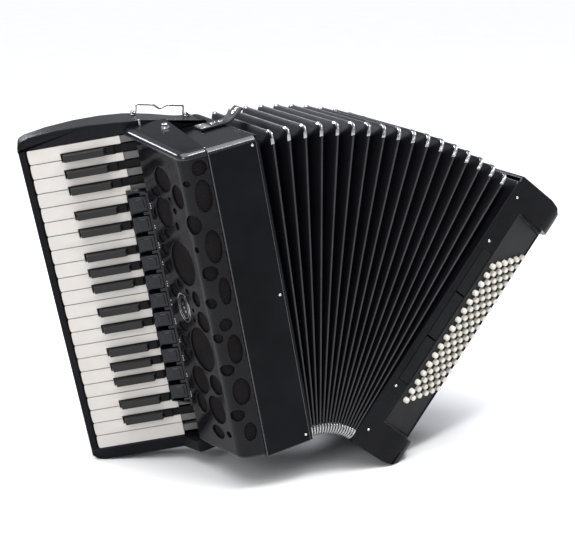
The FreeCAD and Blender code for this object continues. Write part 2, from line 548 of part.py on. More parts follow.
ZL, ZH = -1.0, BH
xe, ye = J(SLEN, 0)
sec_out = [(0, 0), (SS, 0), (xe, ye), (BO, ye + 8), (BO, 158), (BO - 5, 174), (BO - 16, 185), (BO - 30, DEP), (0, DEP)]
t = BWL
sec_in = [(-1, t), (SS - 1.4, t), (J(SLEN - 3, -t)[0], J(SLEN - 3, -t)[1]), (BO - t, ye + 10.5), (BO - t, 157), (BO - t - 4.2, 170.8), (BO - 18.4, 180.6), (BO - 31, DEP - t), (-1, DEP - t)]
lobe = [(SS - 6, 0), (66, 0), (78, 2.2), (87, 7.0), (93.5, 14.0), (BO, 24), (BO, 60), (SS - 6, 60)]
lobe_in = [(SS - 7, t), (65, t), (76, 6.8), (83.5, 11.0), (89.0, 17.0), (BO - t, 26), (BO - t, 62), (SS - 7, 62)]
outer_b = fuse([prism(sec_out, ZL, ZH), prism(lobe, ZL, LB), prism(lobe, LT, ZH)])
prof_b = [(0, ZL), (60, ZL), (74, 1.5), (86, 7.0), (94, 15.5), (BO, 26), (BO, ZH - 27), (94, ZH - 16.5), (86, ZH - 8.0), (74, ZH - 2.5), (60, ZH), (0, ZH)]
outer_b = outer_b.common(prism_y(prof_b, -5, 200))
prof_in = [(-2, ZL + t), (59, ZL + t), (72, 1.5 + t), (82.5, 7.0 + t), (89.4, 15.5 + t - 1), (BO - t, 30), (BO - t, ZH - 31), (89.4, ZH - 16.5 - t + 1), (82.5, ZH - 8.0 - t), (72, ZH - 2.5 - t), (59, ZH - t), (-2, ZH - t)]
inner_b = fuse([prism(sec_in, ZL, ZH), prism(lobe_in, ZL, LB - t), prism(lobe_in, LT + t, ZH)]).common(prism_y(prof_in, -5, 200))
case_b = outer_b.cut(inner_b)
# opening for the button board, and for the three register bars
op = prism([J(3.0, 4), J(SLEN - 3.0, 4), J(SLEN - 3.0, -9), J(3.0, -9)], LB + 4, LT - 4)
BL, BWD, BF1, BPI = g("bar_length"), g("bar_width"), g("bar_first"), g("bar_pitch")
case_b = case_b.cut(op).cut(box(7.6, 7.6 + BWD + 0.8, -1, t + 1, BF1 - 0.4, BF1 + 2 * BPI + BL + 0.4))
# slot for the strap wheel in the top, hole for the air button and two strap slots in the outer wall
WR, WW = g("wheel_radius"), g("wheel_width")
case_b = case_b.cut(box(40 - WR - 1.5, 40 + WR + 1.5, 120 - WW / 2 - 1, 120 + WW / 2 + 1, ZH - 8, ZH + 2))
AR, AL = g("air_radius"), g("air_length")
case_b = case_b.cut(rod((BO - 12, 66, 330), (BO + 3, 66, 330), AR + 0.5))
SLW, SWD, STH = g("strap_low"), g("strap_width"), g("strap_thick")
case_b = case_b.cut(box(8.4, 68.0, DEP - 3.0, DEP + 1, 30.0, 388.0)).cut(box(14.4, 62.0, DEP - 8.0, DEP + 2, 36.0, 382.0))
# two lugs under the top wall that carry the strap wheel's pin
lug_z = ZH - g("wheel_drop")
for y0 in (112.6, 124.4):
    lug = box(36.5, 43.5, y0, y0 + 3.0, lug_z - 3.5, ZH - t + 0.2)
    case_b = case_b.fuse(lug)
case_b = case_b.fuse(rod((40, 112.6, lug_z), (40, 127.4, lug_z), g("wheel_pin")))
feature("bass_casing", case_b, b_place())

# button board with 96 holes
ncol, nrow = 16, 6
BRD, BHL, BRS = g("button_radius"), g("button_hole"), g("button_rise")
mx, my = math.sin(PHI), -math.cos(PHI)


def button_axis(r, c):
    s = g("button_s0") + r * g("button_row")
    z = g("button_z0") + c * g("button_col") + r * g("button_stagger")
    x, y = J(s, 0)
    return x, y, z


board = prism([J(3.4, -1.0), J(SLEN - 3.4, -1.0), J(SLEN - 3.4, -4.0), J(3.4, -4.0)], LB + 4.4, LT - 4.4)
holes = []
for r in range(nrow):
    for c in range(ncol):
        x, y, z = button_axis(r, c)
        holes.append(rod((x - mx * 8, y - my * 8, z), (x + mx * 3, y + my * 3, z), BHL))
feature("bass_button_board", board.cut(Part.makeCompound(holes)), b_place())
# one button: stem, cap and domed crown, turned about its own axis
prof_pts = [V(0, 0, -9.0), V(BRD, 0, -9.0), V(BRD, 0, BRS - 2.2), V(BRD - 0.5, 0, BRS - 1.1), V(BRD - 1.6, 0, BRS - 0.3), V(0, 0, BRS)]
button = Part.Face(Part.makePolygon(prof_pts + [prof_pts[0]])).revolve(V(0, 0, 0), V(0, 0, 1), 360)
turn = FreeCAD.Rotation(V(0, 0, 1), V(mx, my, 0))
for r in range(nrow):
    solids = []
    for c in range(ncol):
        x, y, z = button_axis(r, c)
        b = button.copy()
        b.Placement = FreeCAD.Placement(V(x, y, z), turn)
        solids.append(b)
    feature("bass_buttons_row_%d" % (r + 1), Part.makeCompound(solids), b_place())
# register bars
for i in range(3):
    bar = doc.addObject("Part::Box", "bass_register_%d" % (i + 1))
    bar.Label = "bass_register_%d" % (i + 1)
    bar.setExpression("Length", "dims.bar_width")
    bar.Width = 7.4
    bar.setExpression("Height", "dims.bar_length")
    bar.Placement = b_place().multiply(FreeCAD.Placement(V(8.0, -0.7, BF1 + i * BPI), FreeCAD.Rotation()))
    nodes["bass_register_%d" % (i + 1)] = bar
# chord and bass mechanism: two end plates, twelve shafts, and a comb that the pistons stand on
mech = [box(36, 90, 44, 96, 60, 63), box(36, 90, 44, 96, 356, 359)]
for i in range(12):
    xx = 42 + (i % 6) * 8.4
    yy = 60.0 + (i // 6) * 22.0
    mech.append(rod((xx, yy, 62.5), (xx, yy, 356.5), 1.6))
feature("bass_mechanism", fuse(mech[:2] + [mech[2]]).multiFuse(mech[3:]), b_place())
rb = [box(28, 32, 104, 176, 24, 392)]
for yc in (118.0, 140.0, 162.0):
    rb.append(box(10, 28, yc - 6, yc + 6, 34, 384))
    rb.append(box(12, 26, yc - 7.6, yc - 6.1, 38, 380))
    rb.append(box(12, 26, yc + 6.1, yc + 7.6, 38, 380))
feature("bass_reed_blocks", Part.makeCompound(rb), b_place())
# back cover of the bass side, with a raised flat pad between its screws
feature("bass_back_cover", box(8.8, 67.6, DEP - 2.7, DEP + 0.6, 30.4, 387.6).fuse(box(18.0, 58.0, DEP + 0.5, DEP + 1.9, 44.0, 374.0)), b_place())
# hand strap: leather band bowed away from the outer wall
hs = [(BO + 0.3, 26), (BO + 4.3, 26), (BO + 10, 52), (BO + 24, 110), (BO + 32, 170), (BO + 34, 209), (BO + 32, 248), (BO + 24, 308), (BO + 10, 366), (BO + 4.3, 391), (BO + 0.3, 391),
      (BO + 0.3, 374), (BO + 5.6, 364), (BO + 19.6, 306), (BO + 27.8, 247), (BO + 29.8, 209), (BO + 27.8, 171), (BO + 19.6, 112), (BO + 5.6, 54), (BO + 0.3, 44)]
feature("bass_strap", prism_y(hs, SLW, SLW + SWD), b_place())
# air button in the outer wall
air = rod((BO + 6.0 - AL, 66, 330), (BO + 6.0, 66, 330), AR)
feature("air_button", air, b_place())
# wheel that tightens the hand strap
WZ, WP = ZH - g("wheel_drop"), g("wheel_pin")
wheel = rod((40, 120 - WW / 2, WZ), (40, 120 + WW / 2, WZ), WR).cut(rod((40, 110, WZ), (40, 130, WZ), WP + 0.1))
feature("strap_wheel", wheel, b_place())
scr = []
for zc, xc in ((25.0, 11.0), (93.0, 10.0), (321.0, 9.0), (390.0, 9.0)):
    scr.append(rod((xc, -0.7, zc), (xc, 0.0, zc), 2.2))
for zc in (25.0, 206.0, 393.0):
    scr.append(rod((5.0, DEP, zc), (5.0, DEP + 0.7, zc), 2.2))
for zc in (36.0, 120.0, 209.0, 300.0, 382.0):
    scr.append(rod((12.0, DEP + 0.6, zc), (12.0, DEP + 1.5, zc), 2.4))
    scr.append(rod((64.0, DEP + 0.6, zc), (64.0, DEP + 1.5, zc), 2.4))
# studs that the bellows straps snap on to
st = []
for zc, sg in ((ZH, 1.0), (ZL, -1.0)):
    for xc in (12.0, 26.0):
        st.append(rod((xc, 98, zc), (xc, 98, zc + sg * 1.0), 6.0).fuse(rod((xc, 98, zc + sg * 0.9), (xc, 98, zc + sg * 4.2), 2.6)))
feature("bass_screws", Part.makeCompound(scr + st), b_place())

# ================= check and write =================
doc.recompute()
bad = []
for o in doc.Objects:
    if any(word in o.State for word in ("Invalid", "Error")):
        bad.append(o.Name + " " + str(o.State))
for name, o in nodes.items():
    if o.Shape.isNull() or not o.Shape.isValid() or not o.Shape.Solids:
        bad.append(name + " shape")
if bad:
    raise SystemExit("failed: " + ", ".join(bad))
if len(nodes) > 60:
    raise SystemExit("too many nodes: %d" % len(nodes))
os.makedirs("parts", exist_ok=True)
for f in os.listdir("parts"):
    if f.endswith(".step") and f[:-5] not in nodes:
        os.remove(os.path.join("parts", f))
low, high = [1e9] * 3, [-1e9] * 3
side_low = {}
for name, o in sorted(nodes.items()):
    o.Shape.exportStep(os.path.join("parts", name + ".step"))
    b = o.Shape.BoundBox
    low = [min(low[0], b.XMin), min(low[1], b.YMin), min(low[2], b.ZMin)]
    high = [max(high[0], b.XMax), max(high[1], b.YMax), max(high[2], b.ZMax)]
    side_low[name] = (round(b.ZMin, 2), round(b.XMin, 1), round(b.XMax, 1))
print("nodes", len(nodes))
print("box", [round(v, 3) for v in low], [round(v, 3) for v in high])
print("lowest", sorted(side_low.items(), key=lambda kv: kv[1][0])[:6])
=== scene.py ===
import bpy, bmesh, math, random
from mathutils import Vector, Matrix
from mathutils.geometry import delaunay_2d_cdt


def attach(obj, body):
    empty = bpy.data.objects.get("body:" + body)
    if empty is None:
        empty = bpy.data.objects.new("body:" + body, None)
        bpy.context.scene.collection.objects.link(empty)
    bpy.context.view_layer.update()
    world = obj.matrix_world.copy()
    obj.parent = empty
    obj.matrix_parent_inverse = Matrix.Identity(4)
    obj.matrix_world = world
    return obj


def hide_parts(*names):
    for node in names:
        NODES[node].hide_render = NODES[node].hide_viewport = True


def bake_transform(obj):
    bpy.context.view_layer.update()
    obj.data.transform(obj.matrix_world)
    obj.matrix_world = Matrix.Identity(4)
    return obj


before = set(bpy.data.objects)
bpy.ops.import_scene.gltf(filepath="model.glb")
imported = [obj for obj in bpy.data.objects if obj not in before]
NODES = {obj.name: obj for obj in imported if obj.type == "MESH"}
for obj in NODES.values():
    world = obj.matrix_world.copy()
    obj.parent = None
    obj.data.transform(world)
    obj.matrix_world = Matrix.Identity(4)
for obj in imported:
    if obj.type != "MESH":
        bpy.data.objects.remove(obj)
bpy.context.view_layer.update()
random.seed(7)

# ------------------------------------------------------------------ frames (millimetres inside, metres in the scene)
MM = Matrix.Scale(0.001, 4)
LEAN, FAN, R = -11.515, 48.27, 74.0
SHIFT = Vector((-27.549, -103.4, 57.87))
TF = MM @ Matrix.Translation(SHIFT) @ Matrix.Rotation(math.radians(LEAN), 4, "Y")
HGT, DEP, TW = 410.0, 190.0, 64.3


def fan(share, rise=0.0):
    a, rho = math.radians(FAN * share), R + rise
    return TF @ Matrix.Translation((rho * math.sin(a), 0, -R + rho * math.cos(a))) @ Matrix.Rotation(a, 4, "Y")


BFR = fan(1.0, 1.5)
TILT = math.radians(24.74)
UX, UY, NX, NY = -math.cos(TILT), math.sin(TILT), -math.sin(TILT), -math.cos(TILT)
EX, EY = -122.5, 133.0


def K(u, n):
    return (EX + UX * u + NX * n, EY + UY * u + NY * n)


# local (u, z, n) to treble frame
KF = TF @ Matrix(((UX, 0, NX, EX), (UY, 0, NY, EY), (0, 1, 0, 0), (0, 0, 0, 1)))
PHI, SS, SLEN = math.radians(22.0), 26.0, 74.4


def J(s, m):
    return (SS + s * math.cos(PHI) + m * math.sin(PHI), s * math.sin(PHI) - m * math.cos(PHI))


# ------------------------------------------------------------------ materials
ROT_T = Matrix.Rotation(math.radians(LEAN), 4, "Y").inverted().to_euler()
ROT_B = Matrix.Rotation(math.radians(LEAN + FAN), 4, "Y").inverted().to_euler()


class Mat:
    def __init__(self, name, rot=None):
        self.m = bpy.data.materials.new(name)
        self.m.use_nodes = True
        self.t = self.m.node_tree
        self.b = self.t.nodes["Principled BSDF"]
        self.co = self.t.nodes.new("ShaderNodeTexCoord")
        self.map = self.t.nodes.new("ShaderNodeMapping")
        if rot is not None:
            self.map.inputs["Rotation"].default_value = rot
        self.t.links.new(self.co.outputs["Object"], self.map.inputs["Vector"])
        self.v = self.map.outputs["Vector"]

    def n(self, kind, **kw):
        node = self.t.nodes.new(kind)
        for k, val in kw.items():
            if k in node.inputs.keys():
                node.inputs[k].default_value = val
            else:
                setattr(node, k, val)
        return node

    def link(self, a, b):
        self.t.links.new(a, b)

    def noise(self, scale, detail=3.0, rough=0.55, vec=None, distortion=0.0):
        nd = self.n("ShaderNodeTexNoise", Scale=scale, Detail=detail, Roughness=rough, Distortion=distortion)
        self.link(vec or self.v, nd.inputs["Vector"])
        return nd.outputs["Fac"]

    def stretch(self, sx, sy, sz):
        mp = self.n("ShaderNodeMapping")
        mp.inputs["Scale"].default_value = (sx, sy, sz)
        self.link(self.v, mp.inputs["Vector"])
        return mp.outputs["Vector"]

    def ramp(self, fac, stops):
        r = self.n("ShaderNodeValToRGB")
        els = r.color_ramp.elements
        while len(els) < len(stops):
            els.new(0.5)
        for e, (p, c) in zip(els, stops):
            e.position = p
            e.color = (c, c, c, 1) if isinstance(c, (int, float)) else (*c, 1)
        self.link(fac, r.inputs["Fac"])
        return r.outputs["Color"]

    def mix(self, fac, a, b):
        x = self.n("ShaderNodeMix", data_type="RGBA")
        if isinstance(fac, float):
            x.inputs["Factor"].default_value = fac
        else:
            self.link(fac, x.inputs["Factor"])
        for key, val in (("A", a), ("B", b)):
            sock = [s for s in x.inputs if s.name == key and s.type == "RGBA"][0]
            if isinstance(val, tuple):
                sock.default_value = (*val, 1)
            else:
                self.link(val, sock)
        return [s for s in x.outputs if s.type == "RGBA"][0]

    def math(self, op, a, b=None):
        x = self.n("ShaderNodeMath", operation=op)
        for i, val in enumerate((a, b)):
            if val is None:
                continue
            if isinstance(val, (int, float)):
                x.inputs[i].default_value = val
            else:
                self.link(val, x.inputs[i])
        return x.outputs[0]

    def rng(self, fac, lo, hi, f0=0.3, f1=0.7):
        x = self.n("ShaderNodeMapRange")
        x.inputs["From Min"].default_value, x.inputs["From Max"].default_value = f0, f1
        x.inputs["To Min"].default_value, x.inputs["To Max"].default_value = lo, hi
        self.link(fac, x.inputs["Value"])
        return x.outputs["Result"]

    def bump(self, height, strength, distance, before=None):
        x = self.n("ShaderNodeBump")
        x.inputs["Strength"].default_value = strength
        x.inputs["Distance"].default_value = distance
        self.link(height, x.inputs["Height"])
        if before is not None:
            self.link(before, x.inputs["Normal"])
        return x.outputs["Normal"]

    def set(self, **kw):
        for k, val in kw.items():
            self.b.inputs[k.replace("_", " ")].default_value = val
        return self

    def to(self, name, out):
        self.link(out, self.b.inputs[name])
        return self


def lacquer(name, base, rough, var, rot=None, peel=0.12, spec=0.5, coat=0.0):
    # polished or satin lacquer: slight cloudiness, fine wipe marks, orange peel, paler worn edges
    m = Mat(name, rot)
    cloud = m.noise(14, 4)
    fine = m.noise(900, 2)
    wipe = m.noise(60, 5, 0.7, m.stretch(1, 6, 1))
    geo = m.n("ShaderNodeNewGeometry")
    edge = m.rng(geo.outputs["Pointiness"], 0.0, 1.0, 0.53, 0.60)
    dark = tuple(c * 0.75 for c in base)
    light = tuple(min(1, c * 1.5 + 0.002) for c in base)
    col = m.mix(m.rng(cloud, 0, 1), dark, light)
    col = m.mix(m.math("MULTIPLY", edge, 0.35), col, tuple(min(1, c * 2.2 + 0.012) for c in base))
    m.to("Base Color", col)
    r = m.math("ADD", m.rng(wipe, rough - var, rough + var, 0.3, 0.75), m.math("MULTIPLY", edge, 0.06))
    m.to("Roughness", r)
    m.to("Normal", m.bump(fine, 0.03, 0.0002, m.bump(m.noise(160, 2), peel, 0.0004)))
    m.set(Specular_IOR_Level=spec)
    if coat:
        m.set(Coat_Weight=coat, Coat_Roughness=0.04)
    return m.m


def plastic(name, base, rough, var=0.05, warm=None, grain=0.05, sss=0.0, spec=0.5, gscale=700):
    m = Mat(name)
    cloud = m.noise(45, 4)
    col = m.mix(m.rng(cloud, 0, 1), base, warm or tuple(c * 0.9 for c in base))
    # painted shade: concave creases and corners (low pointiness) are darkened in the base colour
    geo = m.n("ShaderNodeNewGeometry")
    crease = m.rng(geo.outputs["Pointiness"], 1.0, 0.0, 0.40, 0.49)
    col = m.mix(m.math("MULTIPLY", crease, 0.5), col, tuple(c * 0.45 for c in base))
    m.to("Base Color", col)
    m.to("Roughness", m.rng(m.noise(120, 5, 0.65), rough - var, rough + var))
    m.to("Normal", m.bump(m.noise(gscale, 3), grain, 0.0003))
    if sss:
        m.set(Subsurface_Weight=sss, Subsurface_Scale=0.002)
    m.set(Specular_IOR_Level=spec)
    return m.m


def metal(name, base, rough, var, scale=200, brushed=None, bump=0.03):
    m = Mat(name)
    vec = m.stretch(*brushed) if brushed else m.v
    grain = m.noise(scale, 4, 0.6, vec)
    spots = m.noise(35, 5, 0.7)
    m.to("Base Color", m.mix(m.rng(spots, 0, 1, 0.35, 0.75), base, tuple(c * 0.72 for c in base)))
    m.to("Roughness", m.math("ADD", m.rng(grain, rough - var, rough + var), m.rng(spots, 0.0, 0.10, 0.55, 0.75)))
    m.to("Normal", m.bump(grain, bump, 0.0002))
    m.set(Metallic=1.0)
    return m.m


def leather(name, base, rot=None, scale=700, rough=0.42):
    m = Mat(name, rot)
    vo = m.n("ShaderNodeTexVoronoi", Scale=scale, feature="DISTANCE_TO_EDGE")
    m.link(m.v, vo.inputs["Vector"])
    pebble = m.rng(vo.outputs["Distance"], 0, 1, 0.0, 0.28)
    crease = m.noise(120, 5, 0.7, distortion=0.6)
    col = m.mix(pebble, tuple(c * 0.45 for c in base), base)
    col = m.mix(m.rng(m.noise(30, 4), 0, 0.5), col, tuple(min(1, c * 1.9 + 0.01) for c in base))
    m.to("Base Color", col)
    m.to("Roughness", m.math("ADD", m.math("MULTIPLY", pebble, -0.08), m.rng(crease, rough, rough + 0.22)))
    m.to("Normal", m.bump(crease, 0.25, 0.0008, m.bump(pebble, 0.5, 0.0004)))
    m.set(Sheen_Weight=0.03, Sheen_Roughness=0.4, Specular_IOR_Level=0.25)
    return m.m


def weave(name, base, light, pitch=0.0011, rot=None, rough=0.8, bump=0.6, sheen=0.25, axes=("X", "Z"), spec=0.3):
    # crossing threads made of two sine waves in the piece's own directions
    m = Mat(name, rot)
    sep = m.n("ShaderNodeSeparateXYZ")
    m.link(m.v, sep.inputs[0])
    k = 2 * math.pi / pitch
    a = m.math("SINE", m.math("MULTIPLY", sep.outputs[axes[0]], k))
    b = m.math("SINE", m.math("MULTIPLY", sep.outputs[axes[1]], k))
    h = m.math("MULTIPLY", a, b)
    hh = m.rng(h, 0, 1, -1, 1)
    wob = m.noise(500, 3)
    col = m.mix(hh, base, light)
    col = m.mix(m.rng(m.noise(25, 4), 0, 0.45), col, tuple(c * 0.5 for c in base))
    m.to("Base Color", col)
    m.to("Roughness", m.rng(wob, rough - 0.08, min(1, rough + 0.1)))
    m.to("Normal", m.bump(wob, 0.15, 0.0003, m.bump(hh, bump, 0.0003)))
    m.set(Sheen_Weight=sheen, Sheen_Roughness=0.5, Specular_IOR_Level=spec)
    return m.m


M = {
    "gloss": lacquer("black_gloss_lacquer", (0.0024, 0.0025, 0.0040), 0.12, 0.035, ROT_T, peel=0.05, spec=0.15, coat=0.0),
    # edge: lighter copy of the black lacquer for bevel faces; its paler base colour is a painted highlight along the
    # edges
    "edge": lacquer("black_lacquer_painted_edge_highlight", (0.0060, 0.0062, 0.0085), 0.16, 0.04, ROT_T, peel=0.03, spec=0.70),
    "panel": lacquer("black_panel_lacquer", (0.0022, 0.0024, 0.0038), 0.19, 0.04, ROT_T, peel=0.04, spec=0.07),
    "bed": lacquer("black_keyboard_lacquer", (0.0030, 0.0032, 0.0050), 0.26, 0.06, ROT_T, peel=0.06, spec=0.09),
    "bass": lacquer("black_satin_lacquer", (0.0034, 0.0035, 0.0050), 0.27, 0.06, ROT_B, peel=0.06, spec=0.09),
    "board": lacquer("black_board_lacquer", (0.0044, 0.0046, 0.0056), 0.38, 0.06, ROT_B, peel=0.08, spec=0.10),
    "white": plastic("white_key_celluloid", (0.60, 0.575, 0.545), 0.20, 0.05, warm=(0.57, 0.54, 0.50), grain=0.03, sss=0.12),
    "black_key": plastic("black_key_plastic", (0.0125, 0.0125, 0.013), 0.36, 0.07, warm=(0.016, 0.016, 0.0165), grain=0.10, gscale=1400, spec=0.22),
    # darker copy of the black key plastic: painted shade for the lower rear step of the black keys, also used on their
    # levers
    "black_key_shaded": plastic("black_key_rear_painted_shade", (0.0035, 0.0035, 0.004), 0.45, 0.06, grain=0.1, gscale=1400, spec=0.12),
    "tail": plastic("grey_key_tail", (0.10, 0.10, 0.096), 0.45, 0.08, grain=0.1, gscale=900),
    "switch": plastic("switch_gloss", (0.0022, 0.0025, 0.0060), 0.09, 0.03, grain=0.02, spec=0.30),
    "cream": plastic("cream_button", (0.70, 0.68, 0.62), 0.16, 0.05, warm=(0.62, 0.59, 0.51), grain=0.02, sss=0.10),
    "chrome": metal("chrome", (0.80, 0.80, 0.82), 0.10, 0.05),
    "nickel": metal("nickel_corner", (0.40, 0.40, 0.41), 0.24, 0.08, scale=500, brushed=(1, 6, 1)),
    "steel": metal("steel", (0.55, 0.56, 0.58), 0.32, 0.08, scale=600),
    "alu": metal("aluminium_satin", (0.62, 0.63, 0.65), 0.38, 0.08, scale=900, brushed=(1, 1, 12)),
    "leather": leather("black_strap_leather", (0.0075, 0.0072, 0.0072), ROT_T),
    "leather_b": leather("black_hand_strap_leather", (0.010, 0.0096, 0.0096), ROT_B),
    "card": weave("bellows_card_cloth", (0.0018, 0.0018, 0.0030), (0.0042, 0.0042, 0.0068), 0.0016, ROT_T, rough=0.50, bump=0.30, sheen=0.0, spec=0.10),
    # tape on the crests: a real tape, but its lighter grey also paints the highlight along each crest
    "tape": weave("bellows_tape_with_painted_highlight", (0.013, 0.013, 0.017), (0.036, 0.036, 0.042), 0.0009, ROT_T, rough=0.36, bump=0.30, sheen=0.0, spec=0.35),
    "cloth": weave("grille_cloth", (0.0010, 0.0010, 0.0012), (0.020, 0.016, 0.017), 0.0021, ROT_T, rough=0.75, bump=0.9, sheen=0.0, axes=("Y", "Z"), spec=0.06),
    "thread": weave("thread", (0.05, 0.05, 0.05), (0.09, 0.09, 0.09), 0.0004, None, rough=0.8),
    "felt": weave("felt", (0.16, 0.012, 0.014), (0.22, 0.02, 0.02), 0.0009, None, rough=0.95, sheen=0.5),
    "dot": plastic("white_enamel", (0.75, 0.75, 0.73), 0.3, 0.05),
}


def wood(name, base):
    m = Mat(name)
    rings = m.noise(60, 6, 0.6, m.stretch(1, 1, 0.08))
    m.to("Base Color", m.mix(m.rng(rings, 0, 1, 0.3, 0.7), base, tuple(c * 0.55 for c in base)))
    m.to("Roughness", m.rng(m.noise(300, 3), 0.5, 0.7))
    m.to("Normal", m.bump(rings, 0.2, 0.0005))
    return m.m


M["wood"] = wood("reed_block_wood", (0.50, 0.33, 0.18))


# ------------------------------------------------------------------ mesh helpers
def tmp_prism(pts, z0, z1):
    bm = bmesh.new()
    a = [bm.verts.new((p[0], p[1], z0)) for p in pts]
    b = [bm.verts.new((p[0], p[1], z1)) for p in pts]
    bm.faces.new(list(reversed(a)))
    bm.faces.new(b)
    for i in range(len(pts)):
        j = (i + 1) % len(pts)
        bm.faces.new((a[i], a[j], b[j], b[i]))
    bmesh.ops.recalc_face_normals(bm, faces=bm.faces)
    return bm


def tmp_box(x0, x1, y0, y1, z0, z1):
    return tmp_prism([(x0, y0), (x1, y0), (x1, y1), (x0, y1)], z0, z1)


def bevel(bm, width, seg=2, ang=25.0, keep=None, clamp=True):
    edges = [e for e in bm.edges if e.is_manifold and e.calc_face_angle(0) > math.radians(ang) and (keep is None or keep(e))]
    if edges:
        bmesh.ops.bevel(bm, geom=edges, offset=width, offset_type="OFFSET", segments=seg, profile=0.5, affect="EDGES", clamp_overlap=clamp)
    return bm


def merge(parts):
    # parts: bmeshes, or (bmesh, material index)
    out = bmesh.new()
    for p in parts:
        bm, idx = p if isinstance(p, tuple) else (p, None)
        if idx is not None:
            for f in bm.faces:
                f.material_index = idx
        me = bpy.data.meshes.new("tmp")
        bm.to_mesh(me)
        bm.free()
        out.from_mesh(me)
        bpy.data.meshes.remove(me)
    return out


def turned(bm, mat):
    bmesh.ops.transform(bm, matrix=mat, verts=bm.verts)
    return bm


def make(name, bm, place, mats, body, replaces=(), smooth=40.0, wn=True, blend=None):
    bmesh.ops.transform(bm, matrix=place, verts=bm.verts)
    if place.determinant() < 0:
        bmesh.ops.reverse_faces(bm, faces=bm.faces)
    me = bpy.data.meshes.new(name)
    bm.to_mesh(me)
    bm.free()
    for mt in mats if isinstance(mats, (list, tuple)) else [mats]:
        me.materials.append(mt)
    me.polygons.foreach_set("use_smooth", [True] * len(me.polygons))
    me.set_sharp_from_angle(angle=math.radians(smooth))
    o = bpy.data.objects.new(name, me)
    bpy.context.scene.collection.objects.link(o)
    if wn:
        w = o.modifiers.new("normals", "WEIGHTED_NORMAL")
        w.keep_sharp = True
        w.weight = 60
    if blend:
        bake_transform(o)
    else:
        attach(o, body)
    if replaces:
        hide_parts(*replaces)
    return o


def from_cad(node, name, mats, body, width=0.0, seg=2, ang=30.0, smooth=38.0, keep=None, dissolve=1.0):
    bm = bmesh.new()
    bm.from_mesh(NODES[node].data)
    bmesh.ops.transform(bm, matrix=Matrix.Scale(1000, 4), verts=bm.verts)
    bmesh.ops.remove_doubles(bm, verts=bm.verts, dist=0.002)
    bmesh.ops.dissolve_limit(bm, angle_limit=math.radians(dissolve), verts=bm.verts, edges=bm.edges)
    for f in bm.faces:
        f.material_index = 0
    if width:
        bevel(bm, width, seg, ang, keep, clamp=False)
    return make(name, bm, MM, mats, body, [node], smooth)


def lathe(profile, n=24):
    # profile: (r, z) from the axis at the bottom round to the axis at the top
    bm = bmesh.new()
    rings = []
    for r, z in profile:
        if r < 1e-6:
            rings.append([bm.verts.new((0, 0, z))])
        else:
            rings.append([bm.verts.new((r * math.cos(2 * math.pi * i / n), r * math.sin(2 * math.pi * i / n), z)) for i in range(n)])
    for a, b in zip(rings[:-1], rings[1:]):
        for i in range(n):
            j = (i + 1) % n
            if len(a) == 1:
                bm.faces.new((a[0], b[j], b[i]))
            elif len(b) == 1:
                bm.faces.new((a[i], a[j], b[0]))
            else:
                bm.faces.new((a[i], a[j], b[j], b[i]))
    bmesh.ops.recalc_face_normals(bm, faces=bm.faces)
    return bm


def aim(centre, direction):
    d = Vector(direction).normalized()
    return Matrix.Translation(Vector(centre)) @ d.to_track_quat("Z", "Y").to_matrix().to_4x4()


def screw(r=2.2, h=0.7):
    # domed head with a cross recess
    n = 24
    pts = [(r * 0.62 * math.cos(2 * math.pi * i / n), r * 0.62 * math.sin(2 * math.pi * i / n)) for i in range(n)]
    a, b = r * 0.52, r * 0.11
    cross = [(a, -b), (a, b), (b, b), (b, a), (-b, a), (-b, b), (-a, b), (-a, -b), (-b, -b), (-b, -a), (b, -a), (b, -b)]
    bm = bmesh.new()
    coords = [Vector(p) for p in pts + cross]
    edges = [(i, (i + 1) % n) for i in range(n)] + [(n + i, n + (i + 1) % 12) for i in range(12)]
    vo, _, fo, _, _, _ = delaunay_2d_cdt(coords, edges, [], 1, 1e-6)

    def z_at(x, y):
        return h * (1 - 0.25 * (x * x + y * y) / (r * r))

    vs = [bm.verts.new((v.x, v.y, z_at(v.x, v.y))) for v in vo]
    for f in fo:
        c = sum((vo[i] for i in f), Vector((0, 0))) / len(f)
        inside = (abs(c.x) < a and abs(c.y) < b) or (abs(c.y) < a and abs(c.x) < b)
        if not inside:
            bm.faces.new([vs[i] for i in f])
    low = [bm.verts.new((p[0] * 0.8, p[1] * 0.8, h * 0.15)) for p in cross]
    top = []
    for p in cross:
        top.append(min(vs, key=lambda v: (v.co.x - p[0]) ** 2 + (v.co.y - p[1]) ** 2))
    for i in range(12):
        j = (i + 1) % 12
        bm.faces.new((top[i], top[j], low[j], low[i]))
    bm.faces.new(low)
    rim = [vs[i] for i in range(n)]
    prev = [min(vs, key=lambda v: (v.co.x - p[0]) ** 2 + (v.co.y - p[1]) ** 2) for p in pts]
    for rr, zz in ((0.85, 0.80 * h), (0.96, 0.55 * h), (1.0, 0.2 * h), (1.0, 0.0)):
        ring = [bm.verts.new((r * rr * math.cos(2 * math.pi * i / n), r * rr * math.sin(2 * math.pi * i / n), zz)) for i in range(n)]
        for i in range(n):
            j = (i + 1) % n
            bm.faces.new((prev[i], prev[j], ring[j], ring[i]))
        prev = ring
    bm.faces.new(prev)
    bmesh.ops.recalc_face_normals(bm, faces=bm.faces)
    return bm


def tube(points, radius, n=12, closed=False):
    pts = [Vector(p) for p in points]
    bm = bmesh.new()
    rings = []
    up = None
    for i, p in enumerate(pts):
        d = (pts[min(i + 1, len(pts) - 1)] - pts[max(i - 1, 0)]).normalized()
        if up is None:
            up = d.orthogonal().normalized()
        up = (up - d * up.dot(d)).normalized()
        side = d.cross(up)
        rings.append([bm.verts.new(p + (up * math.cos(2 * math.pi * k / n) + side * math.sin(2 * math.pi * k / n)) * radius) for k in range(n)])
    for a, b in zip(rings[:-1], rings[1:]):
        for k in range(n):
            m = (k + 1) % n
            bm.faces.new((a[k], a[m], b[m], b[k]))
    bm.faces.new(rings[0])
    bm.faces.new(rings[-1])
    bmesh.ops.recalc_face_normals(bm, faces=bm.faces)
    return bm


